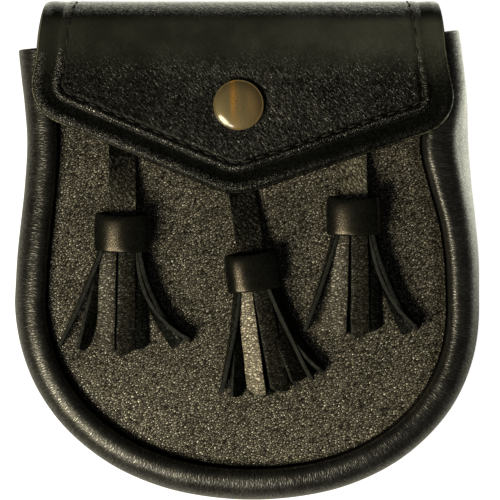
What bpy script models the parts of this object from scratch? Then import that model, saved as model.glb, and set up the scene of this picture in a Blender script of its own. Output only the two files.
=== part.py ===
"""Three-tassel leather day sporran, lying on its back on a flat surface.

X runs to the right of the front view, Y up the front and Z out of the front. Z = 0 is the
surface that the pouch lies on. Lengths below are in millimetres and become metres when a
mesh is made.
"""
import math
from collections import namedtuple

import bmesh
import bpy
from mathutils import Matrix, Vector

MM = 0.001
SMOOTH_ANGLE = math.radians(40)

# ---- leather, brass and clearances ----
GAP = 0.3                   # between two pieces that touch on the real pouch
FACET_ROOM = 0.2            # more room where a coarse face bridges a curve
GUSSET_LEATHER = 1.6
PANEL_LEATHER = 2.0
SHEET_LEATHER = 2.1         # the one hide of the back and the flap
STRAP_LEATHER = 1.6
COLLAR_LEATHER = 1.6
STRIP_LEATHER = 1.7
LOOP_LEATHER = 1.6

# ---- body ----
DEPTH = 38.0                # over the front and back crests of the gusset
MID_DEPTH = DEPTH / 2
WIDEST_HEIGHT = -18.6       # height of the widest line of the body
WIDEST_HALF = 88.2
BOTTOM_DROP = 75.8          # from the widest line down to the lowest point
BOTTOM_POWER = 2.15         # a little fuller than an ellipse
BOTTOM_SHIFT = 1.6          # the lowest point lies this far right of the middle
ROLL_WIDTH = 11.7           # from the panel's seam to the outer edge of the gusset
LEFT_END = 76.4             # heights of the two cut ends of the gusset
RIGHT_END = 84.0
SEAM_SETBACK = 0.9          # the panels stop this far short of the seam groove
SIDE_STATIONS = (72.0, 61.0, 50.0, 39.0, 28.0, 17.0, 5.0, -7.0)
ARC_STEPS = 11              # stations on each half of the rounded bottom

# Half widths of the body above its widest line, and the width of its rolled edge.
Side = namedtuple("Side", "height left right roll_left roll_right")
SIDES = (
    Side(84.0, 86.8, 79.0, 11.7, 12.0),
    Side(76.4, 86.6, 80.9, 11.7, 12.5),
    Side(65.0, 85.5, 82.5, 11.7, 13.6),
    Side(57.4, 84.6, 83.1, 11.7, 14.5),
    Side(42.2, 83.6, 82.8, 11.7, 15.2),
    Side(27.0, 84.4, 84.0, 11.7, 13.6),
    Side(11.8, 85.9, 86.2, 11.7, 12.4),
    Side(-3.4, 87.4, 87.7, 11.7, 11.8),
    Side(WIDEST_HEIGHT, WIDEST_HALF, WIDEST_HALF, 11.7, 11.5),
)

# Section of the gusset through the middle of its leather: out from the seam groove, and up.
Section = namedtuple("Section", "out up")
GUSSET_SECTION = (
    Section(-6.0, 28.3),
    Section(-0.4, 28.3),
    Section(0.75, 29.5),
    Section(1.2, 33.2),
    Section(2.4, 36.3),
    Section(4.4, 37.2),
    Section(7.0, 36.2),
    Section(9.3, 33.2),
    Section(10.6, 28.5),
    Section(10.9, 22.0),
    Section(10.9, 16.0),
    Section(10.6, 9.5),
    Section(9.3, 4.8),
    Section(7.0, 1.8),
    Section(4.4, 0.8),
    Section(2.4, 1.5),
    Section(1.1, 3.7),
    Section(0.75, 7.55),
    Section(-0.4, 8.7),
    Section(-6.0, 8.7),
)
SQUEEZE_REACH = 10.0        # the ends of the gusset flatten over this depth
SQUEEZE_MARGIN = 0.15

# ---- front panel ----
PANEL_FACE = 31.5           # outer face at the seam
PANEL_DOME = 0.8            # the middle stands this much prouder
DOME_HALF_WIDTH = 76.0
DOME_HALF_HEIGHT = 78.0
DOME_MIDDLE = -5.0
PANEL_COLUMNS = 8

# ---- back and flap ----
BACK_FACE = 5.5             # outer face of the back
FLAP_FACE = DEPTH + GAP + FACET_ROOM + SHEET_LEATHER
FOLD_RADIUS = (FLAP_FACE - BACK_FACE - SHEET_LEATHER) / 2
FOLD_MIDDLE = (FLAP_FACE + BACK_FACE) / 2
TOP_EDGE = 94.4
FOLD_HEIGHT = TOP_EDGE - FOLD_RADIUS - SHEET_LEATHER / 2
FOLD_LENGTH = math.pi * FOLD_RADIUS
FLAP_DIP = 3.3              # the snap draws the middle of the flap in, most at its tip
DIP_HALF_WIDTH = 77.0
DIP_POWER = 1.5             # how softly the dip runs out to the sides
DIP_RUN = 54.0              # the dip grows over this length below the fold
SHEET_COLUMNS = 6
FOLD_STEPS = 7
CORNER_STEPS = 5
TIP_STEPS = 3               # stations on each half of the rounded tip
SLOPE_STEPS = 5             # stations along each straight slope

# Corners of the flap before rounding, down the left side and up the right.
Corner = namedtuple("Corner", "across height radius")
LEFT_CORNER = Corner(-82.9, 54.4, 15.0)
TIP_CORNER = Corner(-4.7, 21.3, 22.0)
RIGHT_CORNER = Corner(79.2, 49.3, 14.0)

# Side edges of the hide, measured along it from the flap's tip over the fold.
Edge = namedtuple("Edge", "along left right")
FOLD_EDGES = (
    Edge(70.0, -80.7, 76.7),
    Edge(FOLD_HEIGHT, -79.9, 75.9),
    Edge(FOLD_HEIGHT + FOLD_LENGTH * 0.25, -78.0, 74.5),
    Edge(FOLD_HEIGHT + FOLD_LENGTH * 0.50, -75.2, 71.6),
    Edge(FOLD_HEIGHT + FOLD_LENGTH * 0.75, -74.2, 67.4),
    Edge(FOLD_HEIGHT + FOLD_LENGTH, -73.9, 67.3),
)

# Creased border of the flap: in from the cut edge, and the rise of the leather there.
Crease = namedtuple("Crease", "inset rise")
CREASES = (
    Crease(0.0, -0.3),
    Crease(1.3, 0.1),
    Crease(4.4, 0.1),
    Crease(5.6, -0.45),
    Crease(6.8, 0.2),
    Crease(8.4, 0.45),
    Crease(10.0, -0.6),
    Crease(11.2, 0.0),
)
CREASE_END = FOLD_HEIGHT + FOLD_LENGTH * 0.5    # the creases fade over the back of the fold
CREASE_FADE = 16.0

# ---- snap ----
SNAP_ACROSS = -3.2
SNAP_HEIGHT = 55.3
CAP_RADIUS = 9.6
CAP_RISE = 2.9
CAP_EDGE = 0.15             # height of the rim's straight edge over its rounded foot
CAP_FOOT = 0.3
BARREL_RADIUS = 3.2
SOCKET_RADIUS = 5.4
SOCKET_PLATE = 0.6
STUD_BORE = 2.5
BORE_TOP = -0.6             # from the flap's face
STUD_RADIUS = 2.1
STUD_CHAMFER = 0.4
STUD_PLATE_RADIUS = 6.0
STUD_PLATE = 0.7
ROUND_STEPS = 20
HOLE_CUTTER = 6 * SHEET_LEATHER

# Shallow dome of the cap, from its middle out to the rolled rim.
Dome = namedtuple("Dome", "radius drop")
CAP_DOME = (
    Dome(0.0, 0.0),
    Dome(4.0, 0.25),
    Dome(7.0, 1.0),
    Dome(8.5, 1.7),
    Dome(9.1, 1.75),
    Dome(CAP_RADIUS, 2.1),
)

# ---- tassels ----
COLLAR_HALF_WIDTH = 10.75
COLLAR_HALF_HEIGHT = 4.5
COLLAR_LENGTH = 14.8
COLLAR_TILT = math.radians(7.0)     # its upper end stands clear of the panel
COLLAR_SIDES = 24
HEAD_HALF_WIDTH = 8.6
HEAD_HALF_HEIGHT = 2.4
HEAD_TOP = -7.0                     # along the tassel, from the collar's lower rim
HEAD_BOTTOM = 2.4
HEAD_SIDES = 12
STRAP_WIDTH = 10.4
STRAP_END = -8.0                    # inside the collar
STRAP_STEPS = 10
STRIP_WIDTH = 6.0
STRIP_START = 1.2
STRIP_STEPS = 5
STRIP_SETTLE = 0.8          # share of a strip's length over which it comes down to rest

# Tassel frames: middle of the collar's lower rim, lean of the lower end to the right,
# the strap's length above that rim, and how much of it the flap covers.
Tassel = namedtuple("Tassel", "name across height lean strap_length covered")
TASSELS = (
    Tassel("left", -47.2, 0.0, 0.0, 52.0, 13.0),
    Tassel("center", 3.4, -14.8, math.radians(8.0), 57.0, 18.5),
    Tassel("right", 40.8, 6.3, math.radians(1.0), 42.0, 11.5),
)

# Strips of each fringe. root, tip: across the tassel; length: below the collar; curl: how late
# it swings out; lift: rise at the root; turn: degrees from lying flat to standing on edge;
# stack: what it lies on at the tip.
Strip = namedtuple("Strip", "root tip length curl lift turn_root turn_tip stack")
STRIPS = {
    "left": (
        Strip(-7.2, -23.8, 36.3, 1.2, 0.2, 60, 84, 0.0),
        Strip(-4.8, -12.6, 37.6, 1.1, -1.2, 12, 40, 0.0),
        Strip(-4.3, -6.8, 37.8, 1.0, 2.0, 4, 10, 2.2),
        Strip(2.1, 1.0, 39.3, 1.0, 1.9, -4, -6, 1.4),
        Strip(0.0, -3.2, 38.0, 1.0, -1.5, 0, -8, 0.0),
        Strip(5.0, 7.3, 37.4, 1.3, -0.9, -10, -24, 0.0),
        Strip(5.6, 20.5, 36.3, 1.8, 0.5, -56, -84, 0.0),
        Strip(7.4, 25.2, 34.4, 2.6, -0.3, -50, -72, 0.0),
    ),
    "center": (
        Strip(-7.2, -18.4, 36.9, 1.2, 0.0, 55, 70, 0.0),
        Strip(-4.6, -11.8, 39.0, 1.1, -0.9, 16, 30, 0.0),
        Strip(-4.1, -4.6, 39.3, 1.0, 2.0, 6, 9, 2.2),
        Strip(0.3, 0.0, 40.3, 1.0, -1.4, 0, 4, 0.0),
        Strip(2.1, 5.0, 39.5, 1.1, 2.0, -4, -10, 1.7),
        Strip(5.0, 11.7, 36.6, 1.3, -0.8, -12, -28, 0.0),
        Strip(5.8, 16.6, 36.8, 1.1, 0.6, -60, -82, 0.0),
        Strip(7.3, 20.6, 34.2, 1.7, -0.3, -52, -66, 0.0),
    ),
    "right": (
        Strip(-7.2, -19.4, 36.4, 1.1, 0.1, 60, 84, 0.0),
        Strip(-4.8, -13.0, 36.5, 1.1, 0.0, 14, 26, 0.0),
        Strip(-4.2, -6.6, 37.5, 1.0, 2.0, 4, 8, 2.0),
        Strip(1.8, 1.4, 39.1, 1.0, 1.9, -3, -5, 1.5),
        Strip(-0.4, -2.4, 37.8, 1.0, -1.5, 0, -6, 0.0),
        Strip(5.0, 7.7, 36.9, 1.2, -0.9, -10, -26, 0.0),
        Strip(5.9, 19.8, 38.0, 1.4, 0.5, -58, -84, 0.0),
        Strip(7.4, 23.0, 36.5, 2.2, -0.3, -50, -70, 0.0),
    ),
}

# ---- belt loops on the back ----
LOOP_ACROSS = (-38.0, 34.0)
LOOP_HEIGHT = 44.0
LOOP_WIDTH = 22.0
LOOP_FOOT = 8.0             # sewn to the back at each end
LOOP_RISE = 4.0             # run of the slope between a foot and the bridge
LOOP_BRIDGE = 27.0
LOOP_OUTER = 0.4            # the bridge's outer face

# ---- materials: base colour, roughness, metallic ----
FINISHES = {
    "panel_leather": ((0.075, 0.066, 0.045), 0.52, 0.0),
    "gusset_leather": ((0.030, 0.028, 0.021), 0.45, 0.0),
    "hide_leather": ((0.021, 0.020, 0.016), 0.50, 0.0),
    "strap_leather": ((0.034, 0.032, 0.024), 0.48, 0.0),
    "collar_leather": ((0.026, 0.023, 0.016), 0.36, 0.0),
    "fringe_leather": ((0.037, 0.034, 0.026), 0.50, 0.0),
    "loop_leather": ((0.030, 0.028, 0.022), 0.55, 0.0),
    "aged_brass": ((0.330, 0.230, 0.110), 0.32, 1.0),
}


def clear_scene():
    for item in list(bpy.data.objects):
        bpy.data.objects.remove(item, do_unlink=True)


def new_collection(name):
    collection = bpy.data.collections.new(name)
    bpy.context.scene.collection.children.link(collection)
    return collection


def finish(object_name, finish_name):
    color, roughness, metallic = FINISHES[finish_name]
    material = bpy.data.materials.new(object_name + "_" + finish_name)
    material.use_nodes = True
    shader = material.node_tree.nodes["Principled BSDF"]
    shader.inputs["Base Color"].default_value = (*color, 1.0)
    shader.inputs["Roughness"].default_value = roughness
    shader.inputs["Metallic"].default_value = metallic
    return material


def add_object(name, mesh, collection, finish_name=None):
    item = bpy.data.objects.new(name, mesh)
    collection.objects.link(item)
    if finish_name:
        mesh.materials.append(finish(name, finish_name))
    mesh.shade_smooth()
    mesh.set_sharp_from_angle(angle=SMOOTH_ANGLE)
    return item


def add_cutter(name, mesh, collection):
    item = add_object(name, mesh, collection)
    item.hide_render = True
    item.display_type = "WIRE"
    return item


def to_mesh(name, bm):
    bmesh.ops.scale(bm, vec=(MM, MM, MM), verts=bm.verts)
    mesh = bpy.data.meshes.new(name)
    bm.to_mesh(mesh)
    bm.free()
    return mesh


def solidify(item, thickness, offset=0.0):
    shell = item.modifiers.new("leather", "SOLIDIFY")
    shell.thickness = thickness * MM
    shell.offset = offset
    return shell


def smooth_step(value):
    value = min(1.0, max(0.0, value))
    return value * value * (3 - 2 * value)


def read_table(rows, key, column, position):
    """Value of a column at a position between the rows, as a smooth curve through them."""
    rows = sorted(rows, key=lambda row: getattr(row, key))
    places = [getattr(row, key) for row in rows]
    values = [getattr(row, column) for row in rows]
    position = min(places[-1], max(places[0], position))
    last = len(rows) - 2
    start = next(i for i in range(last + 1) if position <= places[i + 1] or i == last)

    def slope(i):
        low = max(0, i - 1)
        high = min(len(rows) - 1, i + 1)
        return (values[high] - values[low]) / (places[high] - places[low])

    span = places[start + 1] - places[start]
    t = (position - places[start]) / span
    rise = values[start + 1] - values[start]
    first = slope(start) * span - rise
    second = -slope(start + 1) * span + rise
    return values[start] + rise * t + t * (1 - t) * (first * (1 - t) + second * t)


# ---- outline of the body ----

Station = namedtuple("Station", "point outward roll")


def body_side(side):
    """Outline points down one side, from its cut end to the start of the bottom point."""
    name = "left" if side < 0 else "right"
    end = LEFT_END if side < 0 else RIGHT_END
    rows = []
    for height in (end, *SIDE_STATIONS):
        half = read_table(SIDES, "height", name, height)
        roll = read_table(SIDES, "height", "roll_" + name, height)
        rows.append((side * half, height, roll))
    for step in range(ARC_STEPS):
        angle = math.pi / 2 * step / ARC_STEPS
        across = WIDEST_HALF * math.cos(angle) ** (2 / BOTTOM_POWER)
        drop = math.sin(angle) ** (2 / BOTTOM_POWER)
        rows.append((side * across + BOTTOM_SHIFT * drop, WIDEST_HEIGHT - BOTTOM_DROP * drop,
                     ROLL_WIDTH))
    return rows


def body_stations():
    """Stations round the gusset, from its left end by the bottom to its right end."""
    bottom = (BOTTOM_SHIFT, WIDEST_HEIGHT - BOTTOM_DROP, ROLL_WIDTH)
    rows = [*body_side(-1), bottom, *reversed(body_side(1))]
    stations = []
    for i, (across, height, roll) in enumerate(rows):
        before = rows[max(0, i - 1)]
        after = rows[min(len(rows) - 1, i + 1)]
        along = Vector((after[0] - before[0], after[1] - before[1])).normalized()
        stations.append(Station(Vector((across, height)), Vector((along.y, -along.x)), roll))
    return stations


def panel_edge(station):
    return station.point - station.outward * (station.roll + SEAM_SETBACK)


# ---- grids and lofted sheets ----

def loft(rows):
    """Open surface through rows that all hold the same number of points."""
    bm = bmesh.new()
    grid = [[bm.verts.new(point) for point in row] for row in rows]
    for upper, lower in zip(grid, grid[1:]):
        for i in range(len(upper) - 1):
            bm.faces.new((upper[i], upper[i + 1], lower[i + 1], lower[i]))
    return bm


def bordered_sheet(tip, left, right, end, insets, columns, place):
    """Sheet with rings that follow its edge, and rows across the field inside them.

    left and right run from the tip to the end in pairs. place(point, inset) gives the point
    in space. Without an end point the last row is a cut edge.
    """
    bm = bmesh.new()
    chain = [tip, *left]
    if end is not None:
        chain.append(end)
    chain.extend(reversed(right))
    count = len(chain)
    rings = []
    for i, point in enumerate(chain):
        before = chain[i - 1]
        after = chain[(i + 1) % count]
        if end is None and i == len(left):
            after = point
        if end is None and i == len(left) + 1:
            before = point
        along = (after - before).normalized()
        inward = Vector((along.y, -along.x))
        rings.append([bm.verts.new(place(point + inward * inset, inset)) for inset in insets])
        rings[-1].append(point + inward * insets[-1])

    def strip(first, second):
        for k in range(len(insets) - 1):
            bm.faces.new((rings[first][k], rings[first][k + 1],
                          rings[second][k + 1], rings[second][k]))

    for i in range(count):
        cut_edge = end is None and i == len(left)
        if not cut_edge:
            strip(i, (i + 1) % count)

    field = []
    for i in range(1, len(left) + 1):
        low = rings[i]
        high = rings[count - i]
        row = [low[-2]]
        for k in range(1, columns):
            point = low[-1].lerp(high[-1], k / columns)
            row.append(bm.verts.new(place(point, insets[-1])))
        row.append(high[-2])
        field.append(row)
    for near, far in zip(field, field[1:]):
        for k in range(columns):
            bm.faces.new((near[k], far[k], far[k + 1], near[k + 1]))
    fans = [(rings[0][-2], field[0], False)]
    if end is not None:
        fans.append((rings[len(left) + 1][-2], field[-1], True))
    for apex, row, flip in fans:
        for k in range(columns):
            corners = (apex, row[k], row[k + 1])
            bm.faces.new(corners[::-1] if flip else corners)
    bmesh.ops.recalc_face_normals(bm, faces=bm.faces)
    return bm


# ---- gusset ----

def squeeze(up, height):
    """Depth of a section point where the ends of the gusset pass under the fold."""
    inner = FOLD_RADIUS - SHEET_LEATHER / 2
    rise = max(0.0, height - FOLD_HEIGHT)
    drop = 0.0
    if rise:
        drop = inner - math.sqrt(inner ** 2 - rise ** 2) + SQUEEZE_MARGIN
    away = up - MID_DEPTH
    weight = min(1.0, abs(away) / SQUEEZE_REACH)
    return up - math.copysign(drop * weight, away)


def add_gusset(collection):
    rows = []
    for station in body_stations():
        groove = station.point - station.outward * station.roll
        row = []
        for section in GUSSET_SECTION:
            scale = station.roll / ROLL_WIDTH if section.out > 0 else 1.0
            point = groove + station.outward * section.out * scale
            row.append((point.x, point.y, squeeze(section.up, station.point.y)))
        rows.append(row)
    mesh = to_mesh("gusset", loft(rows))
    solidify(add_object("gusset", mesh, collection, "gusset_leather"), GUSSET_LEATHER)


# ---- front panel ----

def panel_height(across, height):
    """Outer face of the front panel."""
    reach = (across / DOME_HALF_WIDTH) ** 2 + ((height - DOME_MIDDLE) / DOME_HALF_HEIGHT) ** 2
    return PANEL_FACE + PANEL_DOME * max(0.0, 1 - reach)


def panel_chains():
    """Bottom point of a panel, and its left and right edges upwards in pairs."""
    inner = [panel_edge(station) for station in body_stations()[1:-1]]
    middle = len(inner) // 2
    return inner[middle], inner[middle - 1::-1], inner[middle + 1:]


def add_front_panel(collection):
    bottom, left, right = panel_chains()

    def place(point, inset):
        return point.x, point.y, panel_height(point.x, point.y)

    bm = bordered_sheet(bottom, left, right, None, (0.0,), PANEL_COLUMNS, place)
    mesh = to_mesh("front_panel", bm)
    panel = add_object("front_panel", mesh, collection, "panel_leather")
    outward = mesh.polygons[0].normal.z > 0
    solidify(panel, PANEL_LEATHER, -1.0 if outward else 1.0)


# ---- back and flap ----

def flap_dip(across, height):
    span = max(0.0, 1 - (across / DIP_HALF_WIDTH) ** 2)
    return FLAP_DIP * span ** DIP_POWER * smooth_step((FOLD_HEIGHT - height) / DIP_RUN)


def snap_tilt():
    """Slope of the flap up to the fold at the snap."""
    low = flap_dip(SNAP_ACROSS, SNAP_HEIGHT - CAP_RADIUS)
    high = flap_dip(SNAP_ACROSS, SNAP_HEIGHT + CAP_RADIUS)
    return math.atan((low - high) / (2 * CAP_RADIUS))


def hide_point(across, along, rise):
    """Point of the hide, from its place on the flat leather and its rise above the middle."""
    turned = along - FOLD_HEIGHT
    if turned <= 0:
        middle = FLAP_FACE - SHEET_LEATHER / 2 - flap_dip(across, along)
        return across, along, middle + rise
    if turned < FOLD_LENGTH:
        angle = turned / FOLD_RADIUS
        radius = FOLD_RADIUS + rise
        return (across, FOLD_HEIGHT + radius * math.sin(angle),
                FOLD_MIDDLE + radius * math.cos(angle))
    return (across, FOLD_HEIGHT - (turned - FOLD_LENGTH),
            BACK_FACE + SHEET_LEATHER / 2 - rise)


def rounded_corner(before, corner, after, steps):
    """Points round one corner of the flap, between its two straight runs."""
    middle = Vector((corner.across, corner.height))
    to_before = (before - middle).normalized()
    to_after = (after - middle).normalized()
    half = to_before.angle(to_after) / 2
    center = middle + (to_before + to_after).normalized() * corner.radius / math.sin(half)
    start = middle + to_before * corner.radius / math.tan(half) - center
    finish_arm = middle + to_after * corner.radius / math.tan(half) - center
    turn = start.angle_signed(finish_arm)
    points = []
    for step in range(steps + 1):
        arm = start.copy()
        arm.rotate(Matrix.Rotation(-turn * step / steps, 2))
        points.append(center + arm)
    return points


def flap_side(corner, side):
    """Flap edge from the end of the tip's curve, up the slope and round the corner."""
    tip = Vector((TIP_CORNER.across, TIP_CORNER.height))
    corner_point = Vector((corner.across, corner.height))
    other = LEFT_CORNER if side > 0 else RIGHT_CORNER
    other_point = Vector((other.across, other.height))
    top = Vector((getattr(FOLD_EDGES[0], "left" if side < 0 else "right"),
                  FOLD_EDGES[0].along))
    around_tip = rounded_corner(other_point, TIP_CORNER, corner_point, 2 * TIP_STEPS)
    around_corner = rounded_corner(tip, corner, top, CORNER_STEPS)
    tip_half = around_tip[TIP_STEPS + 1:]
    slope = [tip_half[-1].lerp(around_corner[0], step / SLOPE_STEPS)
             for step in range(1, SLOPE_STEPS)]
    return around_tip[TIP_STEPS], [*tip_half, *slope, *around_corner]


def back_place(point):
    """Place on the flat hide of a point on the back."""
    return Vector((point.x, FOLD_HEIGHT + FOLD_LENGTH + FOLD_HEIGHT - point.y))


def hide_side(side, corner, panel_side):
    name = "left" if side < 0 else "right"
    tip, edge = flap_side(corner, side)
    edge.append(Vector((getattr(FOLD_EDGES[0], name), FOLD_EDGES[0].along)))
    for step in range(FOLD_STEPS + 1):
        along = FOLD_HEIGHT + FOLD_LENGTH * step / FOLD_STEPS
        edge.append(Vector((read_table(FOLD_EDGES, "along", name, along), along)))
    edge.extend(back_place(point) for point in reversed(panel_side))
    return tip, edge


def add_back_and_flap(collection, cutters):
    bottom, panel_left, panel_right = panel_chains()
    tip, left = hide_side(-1, LEFT_CORNER, panel_left)
    right = hide_side(1, RIGHT_CORNER, panel_right)[1]

    def place(point, inset):
        fade = 1 - smooth_step((point.y - CREASE_END) / CREASE_FADE)
        return hide_point(point.x, point.y, read_table(CREASES, "inset", "rise", inset) * fade)

    insets = [crease.inset for crease in CREASES]
    bm = bordered_sheet(tip, left, right, back_place(bottom), insets, SHEET_COLUMNS, place)
    mesh = to_mesh("back_and_flap", bm)
    hide = add_object("back_and_flap", mesh, collection, "hide_leather")
    solidify(hide, SHEET_LEATHER)
    hole = bmesh.new()
    face = FLAP_FACE - flap_dip(SNAP_ACROSS, SNAP_HEIGHT)
    seat = Matrix.Translation((SNAP_ACROSS, SNAP_HEIGHT, face))
    bmesh.ops.create_cone(hole, cap_ends=True, segments=ROUND_STEPS, depth=HOLE_CUTTER,
                          radius1=BARREL_RADIUS + GAP, radius2=BARREL_RADIUS + GAP,
                          matrix=seat @ Matrix.Rotation(snap_tilt(), 4, "X"))
    cutter = add_cutter("snap_hole", to_mesh("snap_hole", hole), cutters)
    cut = hide.modifiers.new("snap_hole", "BOOLEAN")
    cut.operation = "DIFFERENCE"
    cut.object = cutter


# ---- snap ----

def add_turned(name, profile, base, collection, finish_name):
    """Turned piece from a profile that runs down its outer side."""
    bm = bmesh.new()
    verts = [bm.verts.new((radius, 0.0, up)) for radius, up in profile]
    for first, second in zip(verts, verts[1:]):
        bm.edges.new((first, second))
    item = add_object(name, to_mesh(name, bm), collection, finish_name)
    item.location = Vector(base) * MM
    screw = item.modifiers.new("turn", "SCREW")
    screw.axis = "Z"
    screw.steps = ROUND_STEPS
    screw.render_steps = ROUND_STEPS
    screw.use_merge_vertices = True
    screw.merge_threshold = 0.01 * MM
    screw.use_smooth_shade = True
    return item


def add_snap(collection):
    face = FLAP_FACE - flap_dip(SNAP_ACROSS, SNAP_HEIGHT)
    under = -SHEET_LEATHER - GAP
    bottom = under - SOCKET_PLATE
    cap = (
        *((dome.radius, CAP_RISE - dome.drop) for dome in CAP_DOME),
        (CAP_RADIUS, GAP + CAP_EDGE),
        (CAP_RADIUS - CAP_FOOT, GAP),
        (BARREL_RADIUS, GAP),
        (BARREL_RADIUS, under),
        (SOCKET_RADIUS, under),
        (SOCKET_RADIUS, bottom),
        (STUD_BORE, bottom),
        (STUD_BORE, BORE_TOP),
        (0.0, BORE_TOP),
    )
    base = (SNAP_ACROSS, SNAP_HEIGHT, face)
    add_turned("snap_cap", cap, base, collection, "aged_brass").rotation_euler.x = snap_tilt()
    seat = panel_height(SNAP_ACROSS, SNAP_HEIGHT) + GAP
    top = face + BORE_TOP - GAP - seat
    stud = (
        (0.0, top),
        (STUD_RADIUS - STUD_CHAMFER, top),
        (STUD_RADIUS, top - STUD_CHAMFER),
        (STUD_RADIUS, STUD_PLATE),
        (STUD_PLATE_RADIUS, STUD_PLATE),
        (STUD_PLATE_RADIUS, 0.0),
        (0.0, 0.0),
    )
    add_turned("snap_stud", stud, (SNAP_ACROSS, SNAP_HEIGHT, seat), collection, "aged_brass")


# ---- tassels ----

def add_tassel_frame(tassel, collection):
    frame = bpy.data.objects.new("tassel_" + tassel.name, None)
    collection.objects.link(frame)
    seat = panel_height(tassel.across, tassel.height)
    frame.location = Vector((tassel.across, tassel.height, seat)) * MM
    frame.rotation_euler = (0.0, 0.0, tassel.lean)
    return frame


def panel_rise(tassel, across, along):
    """Panel face under a point of the tassel, measured from the tassel's own frame."""
    turn = Matrix.Rotation(tassel.lean, 2)
    point = turn @ Vector((across, -along)) + Vector((tassel.across, tassel.height))
    return panel_height(*point) - panel_height(tassel.across, tassel.height)


def axis_height(along):
    """Height of the collar's middle line over the tassel's frame."""
    return GAP + COLLAR_HALF_HEIGHT - math.tan(COLLAR_TILT) * along


def collar_mesh():
    """Open oval tube along -Y, from its lower rim at the origin up to its upper rim."""
    bm = bmesh.new()
    rings = []
    for along in (0.0, COLLAR_LENGTH):
        ring = []
        for step in range(COLLAR_SIDES):
            angle = 2 * math.pi * step / COLLAR_SIDES
            half_width = COLLAR_HALF_WIDTH - COLLAR_LEATHER / 2
            half_height = COLLAR_HALF_HEIGHT - COLLAR_LEATHER / 2
            ring.append(bm.verts.new((half_width * math.cos(angle), along,
                                      half_height * math.sin(angle))))
        rings.append(ring)
    for i in range(COLLAR_SIDES):
        j = (i + 1) % COLLAR_SIDES
        bm.faces.new((rings[0][i], rings[0][j], rings[1][j], rings[1][i]))
    return to_mesh("collar", bm)


def add_collar(tassel, frame, mesh, collection):
    collar = add_object("collar_" + tassel.name, mesh.copy(), collection, "collar_leather")
    collar.parent = frame
    lean_gap = COLLAR_HALF_HEIGHT * (1 / math.cos(COLLAR_TILT) - 1)
    collar.location = (0.0, 0.0, (axis_height(0.0) + lean_gap) * MM)
    collar.rotation_euler = (COLLAR_TILT, 0.0, 0.0)
    solidify(collar, COLLAR_LEATHER)


def ribbon(path, crossings, width):
    """Flat strip along a path; each crossing is the unit direction of its width."""
    rows = [(point - cross * width / 2, point + cross * width / 2)
            for point, cross in zip(path, crossings)]
    return loft(rows)


def add_strap(tassel, frame, collection):
    rest = GAP + STRAP_LEATHER / 2
    reach = STRAP_WIDTH / 2 / (COLLAR_HALF_WIDTH - COLLAR_LEATHER)
    drop = (COLLAR_HALF_HEIGHT - COLLAR_LEATHER) * math.sqrt(1 - reach ** 2)
    mouth = axis_height(-COLLAR_LENGTH) - drop + GAP + FACET_ROOM + STRAP_LEATHER / 2
    start = -tassel.strap_length
    bare = start + tassel.covered
    path = []
    for step in range(STRAP_STEPS + 1):
        along = start + (STRAP_END - start) * step / STRAP_STEPS
        lift = smooth_step((along - bare) / (-COLLAR_LENGTH - bare))
        height = rest + (mouth - rest) * lift + panel_rise(tassel, 0.0, along) * (1 - lift)
        path.append(Vector((0.0, -along, height)))
    crossings = [Vector((1.0, 0.0, 0.0))] * len(path)
    name = "strap_" + tassel.name
    strap = add_object(name, to_mesh(name, ribbon(path, crossings, STRAP_WIDTH)), collection,
                       "strap_leather")
    strap.parent = frame
    solidify(strap, STRAP_LEATHER)


def strip_mesh(tassel, strip, name):
    """Middle surface of one cut strip, from the fringe's head to its free end."""
    path = []
    crossings = []
    for step in range(STRIP_STEPS + 1):
        t = step / STRIP_STEPS
        along = STRIP_START + (strip.length - STRIP_START) * t
        swing = strip.tip - strip.root
        across = strip.root + swing * t ** strip.curl
        turn = math.radians(strip.turn_root + (strip.turn_tip - strip.turn_root) * t)
        half_height = (STRIP_WIDTH * abs(math.sin(turn)) + STRIP_LEATHER * math.cos(turn)) / 2
        rest = GAP + half_height + strip.stack + panel_rise(tassel, across, along)
        root = max(axis_height(0.0) + strip.lift, rest)
        height = root + (rest - root) * smooth_step(t / STRIP_SETTLE)
        path.append(Vector((across, -along, height)))
        slant = swing * strip.curl * t ** (strip.curl - 1) / (strip.length - STRIP_START)
        flat = Vector((1.0, slant, 0.0)).normalized()
        crossings.append(flat * math.cos(turn) + Vector((0.0, 0.0, math.sin(turn))))
    return to_mesh(name, ribbon(path, crossings, STRIP_WIDTH))


def head_mesh(name):
    """Oval plug of rolled leather that the strips grow from."""
    bm = bmesh.new()
    bmesh.ops.create_cone(bm, cap_ends=True, segments=HEAD_SIDES, radius1=1.0, radius2=1.0,
                          depth=HEAD_BOTTOM - HEAD_TOP)
    bmesh.ops.rotate(bm, verts=bm.verts, matrix=Matrix.Rotation(math.pi / 2, 3, "X"))
    bmesh.ops.scale(bm, verts=bm.verts, vec=(HEAD_HALF_WIDTH, 1.0, HEAD_HALF_HEIGHT))
    middle = (HEAD_TOP + HEAD_BOTTOM) / 2
    for vert in bm.verts:
        vert.co.y -= middle
        vert.co.z += axis_height(-vert.co.y)
    return to_mesh(name, bm)


def add_fringe(tassel, frame, collection, cutters):
    name = "fringe_" + tassel.name
    locks = bpy.data.collections.new(name + "_strips")
    cutters.children.link(locks)
    for number, strip in enumerate(STRIPS[tassel.name], start=1):
        strip_name = f"{name}_strip_{number}"
        item = add_cutter(strip_name, strip_mesh(tassel, strip, strip_name), locks)
        item.parent = frame
        solidify(item, STRIP_LEATHER)
    fringe = add_object(name, head_mesh(name), collection, "fringe_leather")
    fringe.parent = frame
    union = fringe.modifiers.new("strips", "BOOLEAN")
    union.operation = "UNION"
    union.operand_type = "COLLECTION"
    union.collection = locks


def add_tassels(collection, cutters):
    mesh = collar_mesh()
    for tassel in TASSELS:
        frame = add_tassel_frame(tassel, collection)
        add_collar(tassel, frame, mesh, collection)
        add_strap(tassel, frame, collection)
        add_fringe(tassel, frame, collection, cutters)


# ---- belt loops ----

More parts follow.
